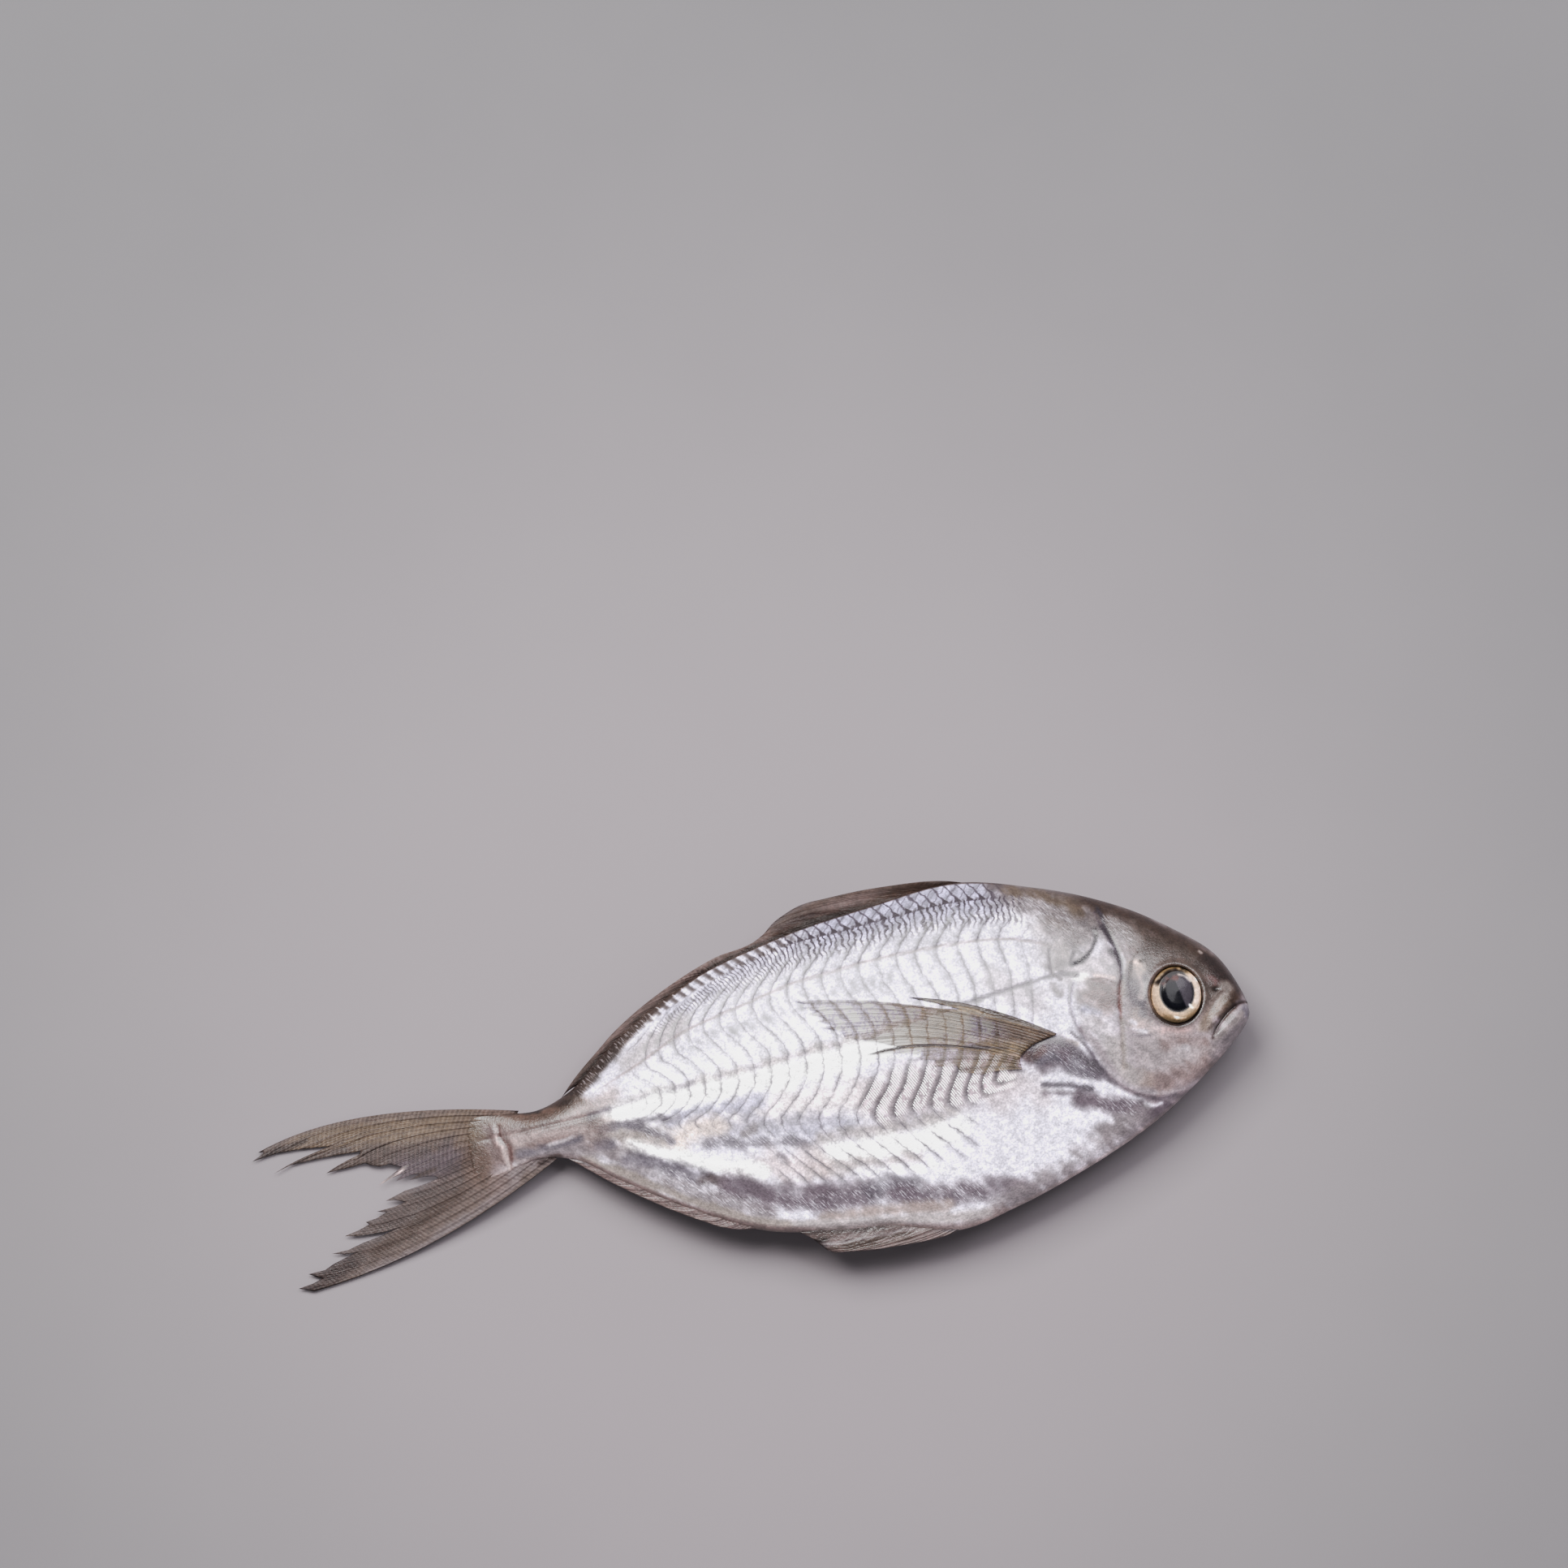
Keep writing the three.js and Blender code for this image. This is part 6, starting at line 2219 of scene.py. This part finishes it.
@dataclass
class Eye:
    """An eyeball in its socket; the dome is its height at shares of the way out from the pupil's middle."""

    flank: Flank
    seat: EyeSeat = field(default_factory=EyeSeat)
    sunk: float = 1.7
    half_length: float = 5.2
    half_height: float = 5.8
    half_depth: float = 3.2
    pupil_shift: tuple[float, float] = (-0.08, 0.08)
    dome: Pairs = (
        (0, 3.05), (0.45, 2.9), (0.62, 2.75), (0.7, 2.78), (0.8, 2.9), (0.9, 2.55), (0.97, 1.4), (1, 0),
    )
    lowest: float = 0.1
    rings: int = 60
    sides: int = 96

    def build(self) -> bpy.types.Object:
        """The eye as a finished piece.

        Returns:
            The object, which rides on the fish and stands for the eye's solid.
        """
        name = f"eye_{self.flank.name.lower()}"
        ball = bmesh.new()
        bmesh.ops.create_uvsphere(ball, u_segments=self.sides, v_segments=self.rings, radius=1.0)
        mesh = as_mesh(ball, f"{name}_ball")
        co = points_of(mesh).astype(float)
        reach = np.hypot(co[:, 0], co[:, 1])
        inner = 1 - smoothstep(reach, 0.4, 0.9)
        shift = self.pupil_shift
        centred = np.hypot(co[:, 0] - shift[0] * inner, co[:, 1] - shift[1] * inner)
        front = co[:, 2] > 0
        shape = np.interp(centred, *np.asarray(self.dome).T)
        z = np.where(front, shape * np.sqrt(np.clip(1 - reach**8, 0, 1)), co[:, 2] * self.half_depth)
        z = z * self.flank.value
        local = np.stack([co[:, 0] * self.half_length, co[:, 1] * self.half_height, z], axis=-1)
        turn = np.array(Vector((0, 0, self.flank.value)).rotation_difference(self._facing()).to_matrix())
        spots = self._centre() + (local @ turn.T) * MM
        spots[:, 2] = np.maximum(spots[:, 2], self.lowest * MM)
        mesh.vertices.foreach_set("co", spots.astype(np.float32).ravel())
        self._paint(mesh, FORM.snout_x - spots[:, 0] / MM, spots[:, 1] / MM - FORM.jaw_y, front)
        mesh.shade_smooth()
        face_out(mesh)
        return hand_over(stand(f"{name}_ball", mesh), EyeFinish().material(), "eye", name)

    def _centre(self) -> Array:
        """The middle of the eyeball in the frame."""
        half = FORM.half(self.seat.back, self.seat.up)
        return FORM.place(self.seat.back, self.seat.up, self.flank.value * (half - self.sunk))

    def _facing(self) -> Vector:
        """The way the flank faces at the eye.

        Returns:
            A vector of length 1.
        """
        back, up, step = self.seat.back, self.seat.up, 0.5
        along = (FORM.half(back + step, up) - FORM.half(back - step, up)) / (2 * step)
        rise = (FORM.half(back, up + step) - FORM.half(back, up - step)) / (2 * step)
        return Vector((float(along), float(-rise), self.flank.value)).normalized()

    def _paint(self, mesh: bpy.types.Mesh, back: Array, up: Array, front: Array) -> None:
        """Colours the ring, the dark rim and the pupil, with a painted reflection in the pupil, a painted
        shadow at its top and painted highlights on the ring.

        Args:
            mesh: the eyeball's mesh.
            back, up: its points.
            front: which of them face outwards.
        """
        canvas = np.ones((len(back), 3)) * Paint.IVORY.share
        grain = Grain(8).at(back / 0.7 + 30.0, up / 0.7 + 30.0)
        for stroke in EYE_STROKES[:4]:
            stroke.lay(canvas, back, up, grain)
        edge, pupil = self.seat.reach(back, up), self.seat.pupil_reach(back, up)
        lay(canvas, Paint.HONEY, 0.5 * smoothstep(edge, 0.95, 1.02))
        lay(canvas, Paint.SOOT, 0.7 * smoothstep(edge, 0.94, 1.02) * (1 - smoothstep(up, 0.0, 4.0)))
        inside = 1 - smoothstep(pupil, 0.96, 1.06)
        lay(canvas, Paint.NIGHT, inside)
        lay(canvas, Paint.NAVY, 0.5 * (1 - smoothstep(pupil, 0.7, 0.95)))
        # Painted reflection over the pupil's part towards the snout
        past = smoothstep(12.6 + 0.25 * (up - 3.0) - back, -0.12, 0.25)
        lay(canvas, Paint.SLATE, 0.9 * past * (1 - smoothstep(pupil, 0.85, 1.0)))
        for stroke in EYE_STROKES[4:]:
            stroke.lay(canvas, back, up, grain)
        lay(canvas, Paint.SOOT, np.where(front, 0.0, 1.0))
        spread_colour(mesh, "tone", np.clip(canvas, 0.0, 1.0))


# Studio


@dataclass(frozen=True)
class Lamp:
    """A square soft lamp that faces the fish; across and along are the photograph's right and top."""

    name: str
    across: float
    along: float
    height: float
    size: float
    watts: float
    tint: Colour

    def hang(self, right: Vector, top: Vector) -> None:
        """Adds the lamp to the scene.

        Args:
            right, top: the photograph's rightward and upward directions.
        """
        light = bpy.data.lights.new(self.name, "AREA")
        light.shape = "SQUARE"
        light.size = self.size
        light.energy = self.watts
        light.color = tuple(linear(np.asarray(self.tint) / 255.0))
        holder = stand(self.name, light)
        holder.location = right * self.across + top * self.along + Vector((0, 0, self.height))
        holder.rotation_mode = "QUATERNION"
        holder.rotation_quaternion = (-holder.location).to_track_quat("-Z", "Y")


@dataclass
class Studio:
    """The table, the lights and the camera."""

    aim: tuple[float, float, float] = (0.0162, 0.0593, 0.010)
    roll: float = 9.411
    tilt: float = 3.0
    distance: float = 6.0
    view_width: float = 0.3129
    air: Colour = (228, 229, 228)
    air_strength: float = 0.55
    lamps: tuple[Lamp, ...] = (
        Lamp("Window", -0.45, 0.7, 1.3, 0.8, 100.0, (255, 253, 252)),
        Lamp("Side", 0.5, 0.65, 1.3, 0.8, 45.0, (252, 250, 255)),
        Lamp("Fill", 0.3, -0.9, 1.0, 0.8, 4.0, (250, 248, 255)),
    )

    def axes(self) -> tuple[Vector, Vector]:
        """The photograph's rightward and upward directions on the table."""
        turn = math.radians(self.roll)
        return Vector((math.cos(turn), -math.sin(turn), 0)), Vector((math.sin(turn), math.cos(turn), 0))

    def table(self) -> None:
        """A surface under the fish, with a pool of light painted round the fish."""
        sheet = bmesh.new()
        bmesh.ops.create_grid(sheet, x_segments=8, y_segments=8, size=1.6)
        mesh = as_mesh(sheet, "table")
        mesh.materials.append(TableFinish().material())
        stand("table", mesh)

    def sky(self) -> None:
        """Even light from all round."""
        world = bpy.data.worlds.new("Studio air")
        world.use_nodes = True
        shade = world.node_tree.nodes["Background"]
        shade.inputs["Color"].default_value = (*linear(np.asarray(self.air) / 255.0), 1.0)
        shade.inputs["Strength"].default_value = self.air_strength
        bpy.context.scene.world = world

    def camera(self) -> None:
        """The camera, nearly straight above, turned so that the fish slopes as in the photograph."""
        right, top = self.axes()
        lean = math.radians(self.tilt)
        away = (Vector((0, 0, 1)) * math.cos(lean) - top * math.sin(lean)).normalized()
        view_up = away.cross(right).normalized()
        data = bpy.data.cameras.new("Camera")
        data.sensor_fit = "HORIZONTAL"
        data.sensor_width = 36.0
        data.lens = data.sensor_width * self.distance / self.view_width
        data.clip_start, data.clip_end = 0.05, 20.0
        camera = stand("Camera", data)
        turn = Matrix((right, view_up, away)).transposed()
        camera.matrix_world = Matrix.Translation(Vector(self.aim) + away * self.distance) @ turn.to_4x4()
        bpy.context.scene.camera = camera

    def build(self) -> None:
        """Sets up the whole studio."""
        self.table()
        for lamp in self.lamps:
            lamp.hang(*self.axes())
        self.sky()
        self.camera()
        LOG.info("studio ready")


# The fish


BACK_FIN_REACH = Profile((
    (44, -0.6), (50, -0.4), (56, 0.7), (63.5, 2.1), (72, 3.5), (79, 4.1), (86, 4.4), (88.4, 3.9),
    (91, 3.1), (93, 1.9), (104, 1.6), (128, 1.7), (136, 1.2), (139, -0.5),
))
BELLY_FIN_REACH = Profile((
    (63, -0.6), (66, 0.6), (70, 2), (76, 3.7), (80, 4.3), (86, 4.3), (91, 3.6), (93, 1.7), (112, 1.5),
    (130, 1.2), (137, 0.7), (140, -0.5),
))
BACK_FIN_STROKES = strokes(
    (Paint.UMBER, 0.3, 0.9, 0.7, ((60, 35.6), (70, 34.4), (78, 32.9), (90, 30.4))),
    (Paint.SOOT, 0.5, 0.9, 0.9, ((74, 32.8), (82, 31.8), (90, 29.6))),
    (Paint.EMBER, 0.15, 0.6, 0.8, ((72, 34.2), (78, 33.7), (84, 33.1), (90, 31.4))),
    (Paint.TAUPE, 0.3, 1.2, 0.6, ((69, 35.4), (76, 34.8), (80, 34.1)), 0.4),
    (Paint.TAUPE, 0.6, 1, 0.6, ((92, 31), (104, 27.8), (118, 21.4), (130, 13.6))),
)
BELLY_FIN_STROKES = strokes(
    (Paint.TAUPE, 1.6, 1.6, 0.8, ((94, -31.4), (84, -32.6), (70, -33.2))),
    (Paint.TAUPE, 0.6, 1, 0.8, ((134, -9.2), (126, -14.8), (118, -20), (110, -24), (102, -26.8))),
    (Paint.COCOA, 0.2, 0.8, 0.5, ((100, -28.2), (90, -30), (84, -31), (78, -31.4))),
    (Paint.SOOT, 0.2, 0.5, 0.85, ((92.2, -30.9), (90.8, -31.1))),
    (Paint.SOOT, 0.2, 0.5, 0.85, ((87.4, -32), (86, -32.1))),
    (Paint.DOVE, 0.3, 0.7, 0.8, ((92, -32.2), (84, -32.4), (74, -32.2))),
    (Paint.UMBER, 0.1, 0.4, 0.8, ((90, -32.9), (80, -32.7), (74, -32.4))),
    (Paint.UMBER, 0.1, 0.35, 0.7, ((88, -33.6), (80, -33.7), (74, -33.4))),
    (Paint.BLUSH, 0.2, 0.5, 0.8, ((93.4, -33.2), (90.6, -33.5))),
)


def fins() -> list[Fin]:
    """Every fin of the fish.

    Returns:
        The fins, not yet built.
    """
    brown = FinFinish("Dark fin skin", Paint.UMBER, ray_dark=0.3, ticks=0.1, shine=0.05)
    pale = FinFinish("Pale fin skin", Paint.HIDE, ray_dark=0.3)
    tail = FinFinish("Tail fin skin", Paint.COCOA, ray_dark=0.6, ticks=0.16, shine=0.1)
    clear = FinFinish("Clear fin skin", Paint.COCOA, ray_dark=0.6)
    breast = partial(
        BreastFin, finish=clear, base=Paint.WHEAT, strokes=BREAST_STROKES, rays=17, fine_rays=46,
        thick=0.3, thin=0.1, ends=BREAST_ENDS,
    )
    return [
        TailFin(
            "tail_fin", tail, Paint.HIDE, (*TAIL_STROKES, *STALK_STROKES),
            rays=17, fine_rays=120, rows=56, ends=TAIL_ENDS,
        ),
        FoldedFin(
            "back_fin", brown, Paint.COCOA, BACK_FIN_STROKES, rays=34, fine_rays=110, rows=14, thin=0.3,
            reach=BACK_FIN_REACH, pale=Paint.HIDE, width=0.75,
        ),
        FoldedFin(
            "belly_fin", pale, Paint.TAUPE, BELLY_FIN_STROKES, rays=16, fine_rays=70, rows=14, thin=0.34,
            edge=FORM.belly_edge, reach=BELLY_FIN_REACH, side=-1.0, start=63.0, end=140.0,
            inner=Paint.DOVE, outer=Paint.TAUPE, pale=Paint.STONE, dimmed=1.2,
            ray_length=Profile(((63, 3), (72, 9), (91, 17), (96, 8), (120, 7), (140, 4))),
        ),
        breast("breast_fin_right", rows=44),
        breast("breast_fin_left", columns=120, rows=24, flank=Flank.LEFT),
    ]


def main() -> None:
    """Builds the studio and the fish."""
    logging.basicConfig(level=logging.INFO, format="%(name)s: %(message)s")
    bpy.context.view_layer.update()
    Studio().build()
    Skin().build()
    for fin in fins():
        fin.build()
    for flank in Flank:
        Eye(flank).build()


if __name__ == "__main__":
    main()
